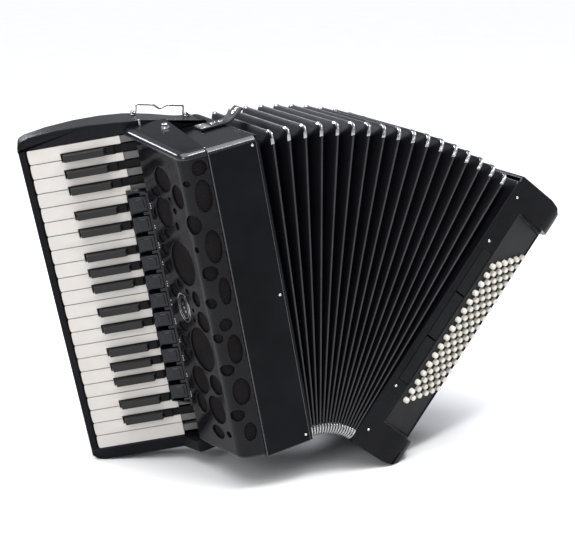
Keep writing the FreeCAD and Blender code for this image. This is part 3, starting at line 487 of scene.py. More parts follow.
def smooth_path(ctrl, per=8):
    # Catmull-Rom line through the control points
    P = [Vector(p) for p in ctrl]
    P = [P[0] * 2 - P[1]] + P + [P[-1] * 2 - P[-2]]
    out = []
    for i in range(1, len(P) - 2):
        for k in range(per):
            t = k / per
            a, b, c, d = P[i - 1], P[i], P[i + 1], P[i + 2]
            out.append(0.5 * ((2 * b) + (c - a) * t + (2 * a - 5 * b + 4 * c - d) * t * t + (3 * b - a - 3 * c + d) * t ** 3))
    out.append(P[-2])
    return out


def band(path, side, section):
    # sweeps a closed section (across, up) along the path; side is the direction across
    side = Vector(side).normalized()
    bm = bmesh.new()
    rings = []
    for i, p in enumerate(path):
        d = (path[min(i + 1, len(path) - 1)] - path[max(i - 1, 0)]).normalized()
        up = side.cross(d).normalized()
        rings.append([bm.verts.new(p + side * a + up * b) for a, b in section(i / (len(path) - 1))])
    m = len(rings[0])
    for a, b in zip(rings[:-1], rings[1:]):
        for k in range(m):
            j = (k + 1) % m
            bm.faces.new((a[k], a[j], b[j], b[k]))
    bm.faces.new(rings[0])
    bm.faces.new(rings[-1])
    bmesh.ops.recalc_face_normals(bm, faces=bm.faces)
    return bm


# ================================================================== treble side
# --- casing frame, with a broad chamfer along its top front edge
CH = 5.5
outer = [(0, 0), (DEP, 0), (DEP, HGT), (CH, HGT), (0, HGT - CH)]
W = 6.0
inner = [(W, W), (DEP - W, W), (DEP - W, HGT - W), (W + 1.0, HGT - W), (W, HGT - W - 1.0)]
bm = bmesh.new()
ring = {}
for key, pts, x in (("o0", outer, -TW), ("o1", outer, 0.0), ("i0", inner, -TW), ("i1", inner, 0.0)):
    ring[key] = [bm.verts.new((x, y, z)) for y, z in pts]
for i in range(5):
    j = (i + 1) % 5
    bm.faces.new((ring["o0"][i], ring["o0"][j], ring["o1"][j], ring["o1"][i]))
    bm.faces.new((ring["i1"][i], ring["i1"][j], ring["i0"][j], ring["i0"][i]))
    bm.faces.new((ring["o1"][i], ring["o1"][j], ring["i1"][j], ring["i1"][i]))
    bm.faces.new((ring["i0"][i], ring["i0"][j], ring["o0"][j], ring["o0"][i]))
bmesh.ops.recalc_face_normals(bm, faces=bm.faces)


def casing_edge(e):
    mid = (e.verts[0].co + e.verts[1].co) / 2
    return mid.y < 0.1 or mid.y > DEP - 0.1 or mid.z < 0.1 or mid.z > HGT - CH - 0.1


bevel(bm, 1.7, 4, 30, casing_edge)
# bevel and chamfer faces take the lighter edge lacquer: a painted highlight along the casing's edges
for f in bm.faces:
    f.material_index = 0 if max(abs(c) for c in f.normal) > 0.995 else 1
make("treble_case", bm, TF, [M["panel"], M["edge"]], "treble", ["treble_casing"])

# --- keyboard bed with its cheeks and fin
from_cad("keyboard_bed", "keyboard_case", [M["bed"]], "treble", 1.5, 3, 24,
         keep=lambda e: e.calc_length() > 3.2)

# --- keys
PITCH, GAP, KL, KH, TOPZ = 19.0, 0.8, 119.5, 12.0, 422.0
WHITES = "FGABCDE"
SHARP = {"F": 2.6, "G": 0.0, "A": -2.6, "C": 2.2, "D": -2.2}
BWID, BFRT, BRISE, TAIL = 10.0, 77.0, 9.5, 9.2
whites, blacks = [], []
for i in range(22):
    letter = WHITES[i % 7]
    hi = TOPZ - i * PITCH
    whites.append((letter, hi - PITCH, hi))
    if letter in SHARP and i < 21:
        c = hi - PITCH + SHARP[letter]
        blacks.append((letter, c - BWID / 2, c + BWID / 2))
KSEC = TF


def tail_parts(zc, yp, zp):
    p0, p1, p2 = K(-31, -7), (-82.5, 113.0), (-79.5, yp)
    pts = [(p0[0] - 1.2, p0[1] + 1.0), (p0[0] + 1.8, p0[1] + 2.2), (p1[0] + 2.0, p1[1] + 0.6), (p2[0] + 1.5, p2[1] + 2.0), (-70.0, yp + 2.0), (-70.0, yp - 2.0),
           (p2[0] - 1.5, p2[1] - 2.0), (p1[0] - 1.5, p1[1] - 0.6)]
    arm = bevel(tmp_prism(pts, zc - 1.2, zc + 1.2), 0.3, 1, 60)
    wood_part = bevel(tmp_box(-70.0, -67.6, yp - 17, yp + 17, zp - TAIL / 2, zp + TAIL / 2), 0.5, 2)
    pad = bevel(tmp_box(-67.6, -66.3, yp - 17, yp + 17, zp - TAIL / 2, zp + TAIL / 2), 0.3, 1)
    return arm, wood_part, pad


tops, tails = {}, {}
for letter, zl, zh in whites:
    nl, nh = zl + GAP / 2, zh - GAP / 2
    for _, bl, bh in blacks:
        if bl < zl < bh:
            nl = bh + GAP
        if bl < zh < bh:
            nh = bl - GAP
    a, b, r = zl + GAP / 2, zh - GAP / 2, 2.6
    outline = [(2.0, nl)]
    if nl != a:
        outline += [(BFRT + 2.0, nl), (BFRT + 2.0, a)]
    m = (a + b) / 2
    front = [(KL - 1.5, a), (KL - 0.75, a + 0.75), (KL - 0.25, a + 2.4), (KL - 0.05, a + 5.5), (KL, m), (KL - 0.05, b - 5.5), (KL - 0.25, b - 2.4), (KL - 0.75, b - 0.75), (KL - 1.5, b)]
    outline += front
    if nh != b:
        outline += [(BFRT + 2.0, b), (BFRT + 2.0, nh)]
    outline += [(2.0, nh)]
    top = tmp_prism(outline, -KH, 0.0)
    bevel(top, 0.45, 3, 12, keep=lambda e: e.verts[0].co.z > -0.01 and e.verts[1].co.z > -0.01, clamp=False)
    tops.setdefault(letter.lower(), []).append(turned(top, TF.inverted() @ KF))
    zc = (nl + nh) / 2
    tail = bevel(tmp_prism([K(3, -KH), K(3, -1.5), K(-30, -1.5), K(-34, -4.5), K(-34, -KH)], zc - TAIL / 2, zc + TAIL / 2), 0.5, 2)
    arm, wd, pad = tail_parts(zc, 86.0, min(zc, 412.2))
    tails.setdefault(letter.lower(), []).extend([(tail, 0), (arm, 1), (wd, 2), (pad, 3)])
for letter, zl, zh in blacks:
    zc = (zl + zh) / 2
    key = letter.lower() + "_sharp"
    cap = tmp_prism([K(BFRT, -KH), K(BFRT, -1.0), K(BFRT - 2.4, BRISE), K(24.2, BRISE), K(22.6, 3.2), K(22.6, -KH)], zl, zh)
    for v in cap.verts:
        rel = (v.co.x - EX) * NX + (v.co.y - EY) * NY
        if rel > 5:
            v.co.z = zc + (v.co.z - zc) * 0.86
    bevel(cap, 0.75, 3, 20)
    # the lower rear step takes the darker copy of the key plastic, a painted shade
    rear = bevel(tmp_prism([K(22.5, 3.0), K(11.5, 3.0), K(11.0, 0.0), K(3, -1.5), K(3, -KH), K(22.5, -KH)], zl, zh), 0.3, 2)
    tail = bevel(tmp_prism([K(3.2, -KH), K(3.2, -1.5), K(-30, -1.5), K(-34, -4.5), K(-34, -KH)], zc - TAIL / 2, zc + TAIL / 2), 0.5, 2)
    tops.setdefault(key, []).extend([(cap, 0), (rear, 1)])
    arm, wd, pad = tail_parts(zc, 42.0, zc)
    tails.setdefault(key, []).extend([(tail, 0), (arm, 1), (wd, 2), (pad, 3)])
for k in sorted(tops):
    sharp = k.endswith("_sharp")
    body = "key_group_" + k
    make("key_tops_" + k, merge(tops[k]), TF, [M["black_key"], M["black_key_shaded"]] if sharp else [M["white"]], body, [body], smooth=30)
    make("key_levers_" + k, merge(tails[k]), TF, [M["black_key_shaded"] if sharp else M["tail"], M["alu"], M["wood"], M["felt"]], body)
# --- axle, pallet board, reed blocks
from_cad("key_axle", "key_axle_rod", [M["steel"]], "treble", 0.3, 1)
from_cad("pallet_board", "pallet_plate", [M["alu"]], "treble")
from_cad("treble_reed_blocks", "treble_reed_bank", [M["wood"]], "treble", 0.4, 1)

# --- grille cover, worked out in its unrolled sheet (S along the section, z up)
SLOPE, FR = 0.15, 7.5
GW = 2.5
LDX, LDY = -15.4 / math.hypot(15.4, 88.0), 88.0 / math.hypot(15.4, 88.0)
ARC0, ARC1 = math.radians(-90.0), math.atan2(LDX, -LDY) if False else -math.pi + math.atan2(-LDX, LDY) * 1.0
# the outward normal at the end of the rounding is square to the left face
ARC1 = -math.pi + math.atan2(-LDX, LDY)
S_FRONT = 21.4
S_ARC = S_FRONT + 14.0 * abs(ARC1 - ARC0)
S_REAR = S_ARC + 89.76
S_BACK = S_REAR + 26.9


def on_section(s):
    # point and outward normal of the section at S
    if s <= S_FRONT:
        return Vector((-64.6 - s, 0.0)), Vector((0.0, -1.0))
    if s <= S_ARC:
        a = ARC0 - (s - S_FRONT) / 14.0
        return Vector((-86 + 14 * math.cos(a), 14 + 14 * math.sin(a))), Vector((math.cos(a), math.sin(a)))
    nrm = Vector((-LDY, LDX))
    base = Vector((-86, 14)) + nrm * 14.0
    return base + Vector((LDX, LDY)) * (s - S_ARC), nrm


def s_of_x(x):
    if x >= -86.0:
        return -64.6 - x
    c = max(-1.0, (x + 86.0) / 14.0)
    a = -math.acos(c)
    return min(S_ARC, S_FRONT + 14.0 * (-a - math.pi / 2))


def sheet_point(s, z, depth=0.0):
    p, n = on_section(s)
    depth += 0.42 * max(0.0, 1.7 - s) ** 2 * (1.0 if depth < 1.0 else 0.3)
    q = p - n * depth
    return Vector((q.x, q.y, z))


def top_z(y):
    return HGT + SLOPE * max(0.0, y)


FRONT_HOLES = [(-77.5, 390.2, 9.4, 9.4), (-78.7, 355.9, 10.6, 20.0), (-96.0, 374.5, 4.0, 3.5), (-99.8, 323.3, 11.6, 11.9), (-79.0, 292.0, 10.6, 21.0), (-100.0, 291.7, 3.4, 3.6), (-90.1, 260.3, 10.3, 9.1), (-96.1, 221.8, 7.0, 6.5), (-76.0, 233.3, 7.6, 18.0), (-83.6, 191.2, 8.2, 8.1), (-96.3, 175.4, 6.1, 6.0), (-78.1, 156.6, 9.6, 19.6), (-93.7, 131.8, 9.6, 7.9), (-80.5, 99.3, 11.7, 18.1), (-92.0, 68.9, 9.7, 8.1), (-79.7, 42.7, 8.5, 12.5)]
LEFT_HOLES = [(44.0, 373.6, 17.9, 15.5), (56.6, 329.5, 18.6, 19.8), (68.0, 354.0, 11.0, 4.6), (81.0, 325.6, 3.8, 5.1), (36.5, 350.4, 3.0, 1.8), (29.1, 336.3, 3.7, 3.8), (30.9, 316.2, 4.5, 4.5), (14.5, 356.1, 12.0, 14.7), (61.7, 301.2, 6.7, 5.4), (78.0, 293.5, 6.8, 5.7), (35.7, 266.4, 26.0, 28.4), (75.0, 278.0, 9.0, 7.0), (77.0, 254.1, 7.2, 7.0), (57.3, 236.0, 5.4, 5.0), (75.0, 222.9, 9.2, 7.8), (41.1, 228.8, 3.6, 3.7), (22.1, 222.6, 8.6, 10.2), (35.1, 204.9, 2.6, 2.4), (38.4, 190.3, 2.6, 2.4), (16.0, 193.0, 13.5, 13.5), (71.2, 174.4, 9.3, 6.1), (32.8, 151.4, 26.0, 29.4), (74.5, 153.8, 8.5, 7.6), (75.4, 134.6, 8.5, 7.6), (54.7, 103.6, 18.6, 18.8), (17.1, 106.3, 14.0, 13.4), (63.0, 68.5, 12.6, 13.2), (27.2, 68.8, 19.0, 19.2), (35.3, 35.0, 13.7, 8.9), (9.2, 39.0, 5.2, 4.2)]
holes = []
for x, z, ra, rb in FRONT_HOLES:
    s0, s1 = s_of_x(x + ra), s_of_x(x - ra)
    if x - ra < -99.79:
        s1 = s0 + 2 * (s_of_x(x) - s0) if s_of_x(x) < S_ARC else s0 + 2.0 * ra
    holes.append([(s0 + s1) / 2, z, max((s1 - s0) / 2, ra * 0.9), rb])
for s, z, ra, rb in LEFT_HOLES:
    holes.append([S_ARC + s, z, ra, rb])
# holes keep a web between them and stay off the edges
for i in range(len(holes)):
    s, z, ra, rb = holes[i]
    if s - ra < 3.4:
        ra = s - 3.4 if s - ra > -6 else ra * 0.8
        s = 3.4 + ra
    if s + ra > S_REAR - 2.6:
        ra = min(ra, (S_REAR - 2.6 - (s - ra)) / 2)
        s = S_REAR - 2.6 - ra
    holes[i] = [s, z, ra, rb]
for _ in range(6):
    for i in range(len(holes)):
        for j in range(i + 1, len(holes)):
            a, b = holes[i], holes[j]
            dx, dz = b[0] - a[0], b[1] - a[1]
            d = math.hypot(dx, dz)
            if d < 1e-3:
                continue
            cx, cz = dx / d, dz / d
            ea = 1 / math.sqrt((cx / a[2]) ** 2 + (cz / a[3]) ** 2)
            eb = 1 / math.sqrt((cx / b[2]) ** 2 + (cz / b[3]) ** 2)
            over = ea + eb + 2.6 - d
            if over > 0:
                small, big = (a, b) if a[2] * a[3] < b[2] * b[3] else (b, a)
                k = max(0.55, 1 - over / (eb if small is b else ea) * 0.55)
                small[2] *= k
                small[3] *= k
                kb = max(0.8, 1 - over / (ea if small is b else eb) * 0.45)
                big[2] *= kb
                big[3] *= kb
FL_R = 4.5


def floor_z(x, y):
    return max(0.5, -6.0 + 0.181 * (-64.6 - x) + 0.0917 * (100.0 - y))


def low_z(s):
    p, _ = on_section(s)
    return floor_z(p.x, p.y) + FL_R


S_LIST = [0, 0.5, 1.0, 1.7, 4, 9, 14, 18, 20, S_FRONT] + [S_FRONT + (S_ARC - S_FRONT) * i / 14 for i in range(1, 15)] + [S_ARC + t for t in (2, 5, 10, 20, 30, 40, 50, 60, 70, 80)] + [S_REAR]


def wall_top(s):
    p, _ = on_section(s)
    return top_z(p.y) - FR


NH = 40


def hole_loop(h, grow):
    s, z, ra, rb = h
    return [(s + (ra + grow) * math.cos(2 * math.pi * i / NH), z + (rb + grow) * math.sin(2 * math.pi * i / NH)) for i in range(NH)]


def wall_sheet(bm, grow, depth, flip):
    outline = [(s, low_z(s)) for s in S_LIST] + [(S_REAR, z) for z in range(20, int(wall_top(S_REAR)) - 8, 12)] + [(s, wall_top(s)) for s in reversed(S_LIST)] + [(0.0, float(z)) for z in range(392, 15, -12)]
    coords, edges = [Vector(p) for p in outline], [(i, (i + 1) % len(outline)) for i in range(len(outline))]
    for h in holes:
        base = len(coords)
        coords += [Vector(p) for p in hole_loop(h, grow)]
        edges += [(base + i, base + (i + 1) % NH) for i in range(NH)]
    for s in S_LIST[1:-1]:
        z = 10.0
        while z < wall_top(s) - 4:
            ok = all(((s - h[0]) / (h[2] + grow + 1.6)) ** 2 + ((z - h[1]) / (h[3] + grow + 1.6)) ** 2 > 1 for h in holes)
            if ok:
                coords.append(Vector((s, z)))
            z += 6.0
    vo, _, fo, _, _, _ = delaunay_2d_cdt(coords, edges, [], 1, 1e-5)
    vs = [bm.verts.new(sheet_point(v.x, v.y, depth)) for v in vo]
    for f in fo:
        c = sum((vo[i] for i in f), Vector((0, 0))) / len(f)
        if any(((c.x - h[0]) / (h[2] + grow)) ** 2 + ((c.y - h[1]) / (h[3] + grow)) ** 2 < 0.995 for h in holes):
            continue
        bm.faces.new([vs[i] for i in (reversed(f) if flip else f)])


bm = bmesh.new()
BV = 0.8
wall_sheet(bm, BV, 0.0, False)
wall_sheet(bm, 0.0, GW, True)
for h in holes:
    prev = None
    for grow, depth in ((BV, 0.0), (BV * 0.62, BV * 0.08), (BV * 0.29, BV * 0.29), (BV * 0.08, BV * 0.62), (0.0, BV), (0.0, GW)):
        loop = [bm.verts.new(sheet_point(s, z, depth)) for s, z in hole_loop(h, grow)]
        if prev:
            for i in range(NH):
                j = (i + 1) % NH
                bm.faces.new((prev[i], prev[j], loop[j], loop[i]))
        prev = loop
# rear edge of the wall
zr = [low_z(S_REAR)] + [float(z) for z in range(20, int(wall_top(S_REAR)) - 8, 12)] + [wall_top(S_REAR)]
e0 = [bm.verts.new(sheet_point(S_REAR, z, 0.0)) for z in zr]
e1 = [bm.verts.new(sheet_point(S_REAR, z, GW)) for z in zr]
for i in range(len(zr) - 1):
    bm.faces.new((e0[i], e0[i + 1], e1[i + 1], e1[i]))
zf = [low_z(0.0)] + [float(z) for z in range(392, 15, -12)][::-1] + [wall_top(0.0)]
e0 = [bm.verts.new(sheet_point(0.0, z, 0.0)) for z in zf]
e1 = [bm.verts.new(sheet_point(0.0, z, GW)) for z in zf]
for i in range(len(zf) - 1):
    bm.faces.new((e0[i], e0[i + 1], e1[i + 1], e1[i]))


def cap_strip(bm, s_list, top):
    # rounded edge that turns the wall into the end plate, and the plate itself, with its inside
    loops = []
    steps = 7
    for k in range(steps + 1):
        b = math.pi / 2 * k / steps
        row = []
        for s in s_list:
            p, n = on_section(s)
            rr = FR if top else FL_R
            q = p - n * (rr * (1 - math.cos(b)))
            if top:
                z = top_z(p.y) - rr + rr * math.sin(b) + SLOPE * (q.y - p.y) * (k / steps)
            else:
                z = low_z(s) - rr * math.sin(b) + (floor_z(q.x, q.y) - floor_z(p.x, p.y)) * (k / steps)
            q -= n * (0.42 * max(0.0, 1.7 - s) ** 2 * (1 - k / steps))
            row.append(bm.verts.new((q.x, q.y, z)))
        loops.append(row)
    # the top rounding takes the lighter edge lacquer, a painted highlight along the roof edge; the bottom rounding
    # keeps the gloss lacquer
    for a, b in zip(loops[:-1], loops[1:]):
        for i in range(len(s_list) - 1):
            bm.faces.new((a[i], a[i + 1], b[i + 1], b[i])).material_index = 1 if top else 0
    rim = loops[-1]
    end = [(rim[-1].co.x, rim[-1].co.y)]
    yb = 126.5 if top else 100.0
    extra = [(-64.6, yb)]
    pts = list(rim)
    for x, y in extra:
        z = top_z(y) if top else floor_z(x, y)
        pts.append(bm.verts.new((x, y, z)))
    bmesh.ops.triangulate(bm, faces=[bm.faces.new(pts)])
    # inside skin
    inner_pts = []
    for s in s_list:
        p, n = on_section(s)
        q = p - n * GW
        z = (top_z(p.y) - GW) if top else floor_z(q.x, q.y) + GW
        inner_pts.append(bm.verts.new((q.x, q.y, z)))
    z = (top_z(yb) - GW) if top else floor_z(-64.6, yb) + GW
    inner_pts.append(bm.verts.new((-64.6, yb, z)))
    bmesh.ops.triangulate(bm, faces=[bm.faces.new(inner_pts)])
    low = [bm.verts.new(sheet_point(s, wall_top(s) if top else low_z(s), GW)) for s in s_list]
    for i in range(len(s_list) - 1):
        bm.faces.new((low[i], low[i + 1], inner_pts[i + 1], inner_pts[i]))
    # edge along the casing and along the rear
    for i0, side in ((0, 0), (len(s_list) - 1, 1)):
        col = [lp[i0] for lp in loops]
        face = col + ([pts[-1]] if False else []) + [inner_pts[i0], low[i0]]
        bm.faces.new(face)
    bm.faces.new((rim[-1], pts[-1], inner_pts[-1], inner_pts[len(s_list) - 1]))
    bm.faces.new((pts[-1], rim[0], inner_pts[0], inner_pts[-1]))


S_TOP = S_LIST + [S_REAR + 8, S_REAR + 16, S_BACK]
cap_strip(bm, S_TOP, True)
cap_strip(bm, S_LIST, False)
bmesh.ops.remove_doubles(bm, verts=bm.verts, dist=0.01)
bmesh.ops.recalc_face_normals(bm, faces=bm.faces)
make("grille_shell", bm, TF, [M["gloss"], M["edge"]], "treble", ["grille_cover"], smooth=32, wn=True)

# --- cloth behind the grille
bm = bmesh.new()
s_cl = [2.0 + (S_REAR - 8) * i / 60 for i in range(61)]
z_cl = [0.0125 * i for i in range(80)]
grid = {}
for side, dep in (("a", 3.05), ("b", 3.65)):
    for i, s in enumerate(s_cl):
        for j, z in enumerate(z_cl):
            sag = 0.12 * math.sin(s * 0.21) * math.sin(z * 0.07)
            sp = on_section(s)[0]
            zz = floor_z(sp.x, sp.y) + 4.0 + (400.0 - floor_z(sp.x, sp.y) - 4.0) * (z / z_cl[-1])
            grid[side, i, j] = bm.verts.new(sheet_point(s, zz, dep + sag))
for i in range(60):
    for j in range(79):
        bm.faces.new((grid["a", i, j], grid["a", i + 1, j], grid["a", i + 1, j + 1], grid["a", i, j + 1]))
        bm.faces.new((grid["b", i, j + 1], grid["b", i + 1, j + 1], grid["b", i + 1, j], grid["b", i, j]))
for i in range(60):
    for j in (0, 79):
        bm.faces.new((grid["a", i, j], grid["b", i, j], grid["b", i + 1, j], grid["a", i + 1, j]))
for j in range(79):
    for i in (0, 60):
        bm.faces.new((grid["a", i, j], grid["a", i, j + 1], grid["b", i, j + 1], grid["b", i, j]))
bmesh.ops.recalc_face_normals(bm, faces=bm.faces)
cloth = make("grille_backing_cloth", bm, TF, [M["cloth"]], "treble", ["grille_cloth"], wn=False)

# --- plain oval badge and small register marks on the grille
parts = []


def sheet_ring(bm, s, z, ra, rb, w, d0, d1, n=48):
    loops = []
    for grow, dep in ((0, d0), (0, d1), (-w, d1), (-w, d0)):
        loops.append([bm.verts.new(sheet_point(s + (ra + grow) * math.cos(2 * math.pi * i / n), z + (rb + grow) * math.sin(2 * math.pi * i / n), dep)) for i in range(n)])
    for a, b in zip(loops, loops[1:] + loops[:1]):
        for i in range(n):
            j = (i + 1) % n
            bm.faces.new((a[i], a[j], b[j], b[i]))


bm = bmesh.new()
sheet_ring(bm, S_ARC + 56.0, 204.0, 13.6, 20.0, 1.5, 0.2, -0.6)
sheet_ring(bm, S_ARC + 56.0, 204.0, 9.6, 15.2, 0.8, 0.2, -0.4)
for k in range(-1, 2):
    sheet_ring(bm, S_ARC + 56.0 + 2.2 * k, 204.0 + 5.0 * k, 1.6, 1.6, 0.9, 0.2, -0.4, 20)
bmesh.ops.recalc_face_normals(bm, faces=bm.faces)
make("oval_badge", bm, TF, [M["chrome"]], "treble")
bm = bmesh.new()
for i in range(11):
    zc = 334.0 - i * 26.0
    for k in range(3):
        if (i + k) % 3 == 0 and i % 2:
            continue
        c = sheet_point(S_REAR - 1.9, zc + (k - 1) * 3.0, -0.05)
        d = lathe([(0, -0.2), (0.75, -0.2), (0.75, 0.12), (0.55, 0.22), (0, 0.22)], 12)
        turned(d, aim(c, (-LDY, LDX, 0)))
        parts.append(d)
make("register_marks", merge(parts), TF, [M["dot"]], "treble")

# --- register rail and switches
from_cad("register_rail", "register_stand", [M["switch"]], "treble", 0.35, 2, 35, keep=lambda e: e.calc_length() > 1.2)


def dome_pad(zc):
    # domed pad on the pressed part of a switch, standing in a shallow rim
    bm = bmesh.new()
    nu, nz = 14, 14
    grid = {}
    for a in range(nu + 1):
        for b in range(nz + 1):
            p, q = -1 + 2 * a / nu, -1 + 2 * b / nz
            # squircle spacing keeps the corners round
            u = -5.6 + 7.6 * p * math.sqrt(1 - 0.16 * q * q)
            z = zc + 7.6 * q * math.sqrt(1 - 0.16 * p * p)
            base = 14.6 - 1.5 * max(0.0, (u + 14.0) / 16.0) - 0.25
            h = base + 1.15 * (1 - abs(p) ** 4) ** 0.5 * (1 - abs(q) ** 4) ** 0.5
            if abs(p) == 1 or abs(q) == 1:
                h = base - 0.4
            x, y = K(u, h)
            grid[a, b] = bm.verts.new((x, y, z))
    for a in range(nu):
        for b in range(nz):
            bm.faces.new((grid[a, b], grid[a + 1, b], grid[a + 1, b + 1], grid[a, b + 1]))
    rim = [grid[a, 0] for a in range(nu + 1)] + [grid[nu, b] for b in range(1, nz + 1)] + [grid[a, nz] for a in range(nu - 1, -1, -1)] + [grid[0, b] for b in range(nz - 1, 0, -1)]
    bm.faces.new(rim)
    bmesh.ops.recalc_face_normals(bm, faces=bm.faces)
    return bm


for i in range(11):
    zc, w = 334.0 - i * 26.0, 19.5
    sec = [K(-17.0, 6.0), K(-17.0, 12.6), K(-16.2, 14.0), K(-14.5, 14.7), K(-8, 14.45), K(-2, 13.7), K(2.5, 12.9), K(6.6, 11.2), K(8.4, 8.9), K(8.5, 5.8), K(-9.0, 5.4), K(-12.0, 5.0)]
    bm = tmp_prism(sec, zc - w / 2, zc + w / 2)
    ends = [f for f in bm.faces if abs(f.normal.z) > 0.9]
    bevel(bm, 1.1, 3, 60)
    bevel(bm, 0.3, 2, 28)
    # raised pad with a rim on the part that is pressed
    pad = dome_pad(zc)
    make("register_tab_%02d" % (i + 1), merge([bm, pad]), TF, [M["switch"]], "register_switch_%02d" % (i + 1), ["register_switch_%02d" % (i + 1)], smooth=45)

# --- shoulder strap bail: bent wire with a dip in its middle
P1, P2, z1, z2 = (-85.0, 180.0), (-19.0, 180.0), 434.2, 415.6
d12 = Vector((66.0, 0, z2 - z1))
L12 = d12.length
d12.normalize()
up12 = Vector((-d12.z, 0, d12.x))
BR = 11.5


def bail(s, h):
    return Vector((P1[0], P1[1], z1)) + d12 * s + up12 * h


ctrl = [(-2.6, 0), (0.6, 0), (1.7, 0.8), (2.0, 3.0), (2.0, 8.2), (2.5, 10.2), (4.2, 11.0), (9, 11.1), (20, 11.1), (25, 10.7), (29, 8.9), (31.5, 7.4), (L12 / 2, 6.8)]
ctrl += [(L12 - s, h) for s, h in ctrl[-2::-1]]
path = smooth_path([bail(s, h) for s, h in ctrl], 5)
wire = tube(path, 1.4, 14)
beads = []
for s in (9.0, 14.5, 20.0, L12 - 20.0, L12 - 14.5, L12 - 9.0):
    beads.append(turned(lathe([(0, -1.6), (1.44, -1.6), (1.58, -1.2), (1.58, 1.2), (1.44, 1.6), (0, 1.6)], 16), aim(bail(s, 11.1), d12)))
beads.append(turned(lathe([(0, -1.5), (1.4, -1.5), (1.62, -1.0), (1.62, 1.0), (1.4, 1.5), (0, 1.5)], 16), aim(bail(L12 / 2, 6.9), d12)))
make("strap_bail_wire", merge([wire] + beads), TF, [M["chrome"]], "strap_bail", ["strap_bail"])
from_cad("strap_brackets", "strap_plates", [M["chrome"]], "treble", 0.4, 2, 40, keep=lambda e: e.calc_length() > 1.0)

# --- screws of the treble side
parts = []
for zc in (11.0, 206.0, 399.0):
    parts.append(turned(screw(1.8, 0.6), aim((-6.5, 0.0, zc), (0, -1, 0))))
    parts.append(turned(screw(2.2, 0.68), aim((-6.5, DEP, zc), (0, 1, 0))))
thumb = lathe([(0, 0.05), (5.2, 0.05), (5.2, 1.2), (4.7, 1.8), (3.0, 2.0), (2.9, 3.0), (3.4, 3.4), (3.4, 5.4), (2.8, 5.95), (0, 6.0)], 28)
parts.append(turned(thumb, aim((-76.0, 96.0, HGT + 14.4), (0, -0.15, 1))))
make("treble_fixings", merge(parts), TF, [M["chrome"]], "treble", ["treble_screws"])


# --- bellows straps
def strap_section(half, thick, crown=0.5):
    def sec(t):
        out = []
        for i in range(-6, 7):
            a = half * i / 6
            out.append((a, thick / 2 + crown * (1 - (i / 6) ** 2) - (0.7 if abs(i) == 6 else 0)))
        for i in range(6, -7, -1):
            a = half * i / 6
            out.append((a, -thick / 2 + (0.4 if abs(i) == 6 else 0)))
        return out
    return sec


def stitches(path, side, offs, lift, step=2.6, length=1.6, r=0.28):
    side = Vector(side).normalized()
    out = []
    acc = 0.0
    for a, b in zip(path[:-1], path[1:]):
        seg = (b - a).length
        while acc < seg:
            p = a + (b - a) * (acc / seg)
            d = (b - a).normalized()
            up = side.cross(d).normalized()
            for o in offs:
                c = p + side * o + up * lift
                out.append(turned(lathe([(0, -length / 2), (r, -length / 2 + r), (r, length / 2 - r), (0, length / 2)], 6), aim(c, d)))
            acc += step
        acc -= seg
    return out


def snap(c, d, r=4.6):
    cap = lathe([(0, -0.2), (r, -0.2), (r, 0.7), (r * 0.93, 1.15), (r * 0.72, 1.3), (r * 0.66, 1.05), (r * 0.6, 1.3), (r * 0.35, 1.75), (0, 1.85)], 26)
    return turned(cap, aim(c, d))


side = (0, 1, 0)
p_top = smooth_path([(-34, 98, HGT + 1.8), (-16, 98, HGT + 1.8), (0, 98, HGT + 1.9), (6, 98, HGT + 3.2), (12, 98, HGT + 6.2), (18, 98, HGT + 10.2), (25, 98, HGT + 14.7)], 6)
strap = band(p_top, side, strap_section(13.6, 2.2, 0.35))
o = make("bellows_strap_leather_top", strap, TF, [M["leather"]], "treble", ["bellows_strap_top"], smooth=50)
st = stitches(p_top[1:-1], side, (-11.6, 11.6), -1.25) + stitches(p_top[1:-1], side, (-11.6, 11.6), 1.35)
make("bellows_strap_stitches_top", merge(st), TF, [M["thread"]], "treble")
plate = bevel(tmp_box(-33.5, -21.0, 84.6, 111.4, HGT + 2.6, HGT + 3.8), 0.45, 2)
fit = [plate, snap((-14.0, 98, HGT + 3.1), (0, 0, 1), 4.4), snap((-3.0, 98, HGT + 3.1), (0, 0, 1), 4.4), snap((17.0, 98, HGT + 10.6), (-0.55, 0, 0.83), 4.2), snap((21.8, 98, HGT + 13.2), (-0.55, 0, 0.83), 3.2)]
for yy in (90.0, 106.0):
    fit.append(turned(screw(1.8, 0.6), aim((-27.2, yy, HGT + 3.75), (0, 0, 1))))
make("bellows_strap_metal_top", merge(fit), TF, [M["chrome"]], "treble")
p_bot = smooth_path([(-34, 98, -1.8), (-16, 98, -1.8), (0, 98, -1.9), (6, 98, -2.6), (11, 98, -4.4), (15.2, 98, -6.1)], 6)
strap = band(p_bot, side, strap_section(13.6, 2.2, 0.3))
make("bellows_strap_leather_bottom", strap, TF, [M["leather"]], "treble", ["bellows_strap_bottom"], smooth=50)
fit = [bevel(tmp_box(-33.5, -23.0, 84.6, 111.4, -3.7, -2.6), 0.4, 2), snap((-12.0, 98, -3.0), (0, 0, -1), 4.2), snap((-1.0, 98, -3.0), (0, 0, -1), 4.2)]
make("bellows_strap_metal_bottom", merge(fit), TF, [M["chrome"]], "treble")

# ================================================================== bellows
from_cad("bellows_frame_treble", "bellows_rim_treble", [M["bed"]], "treble", 0.7, 2, 40, keep=lambda e: e.calc_length() > 3)
from_cad("bellows_frame_bass", "bellows_rim_bass", [M["bass"]], "bass", 0.7, 2, 40, keep=lambda e: e.calc_length() > 3)
N = 18


def fan_point(share, rho, y, dx=0.0):
    a = math.radians(FAN * share)
    return Vector((rho * math.sin(a) + math.cos(a) * dx, y, -R + rho * math.cos(a) - math.sin(a) * dx))


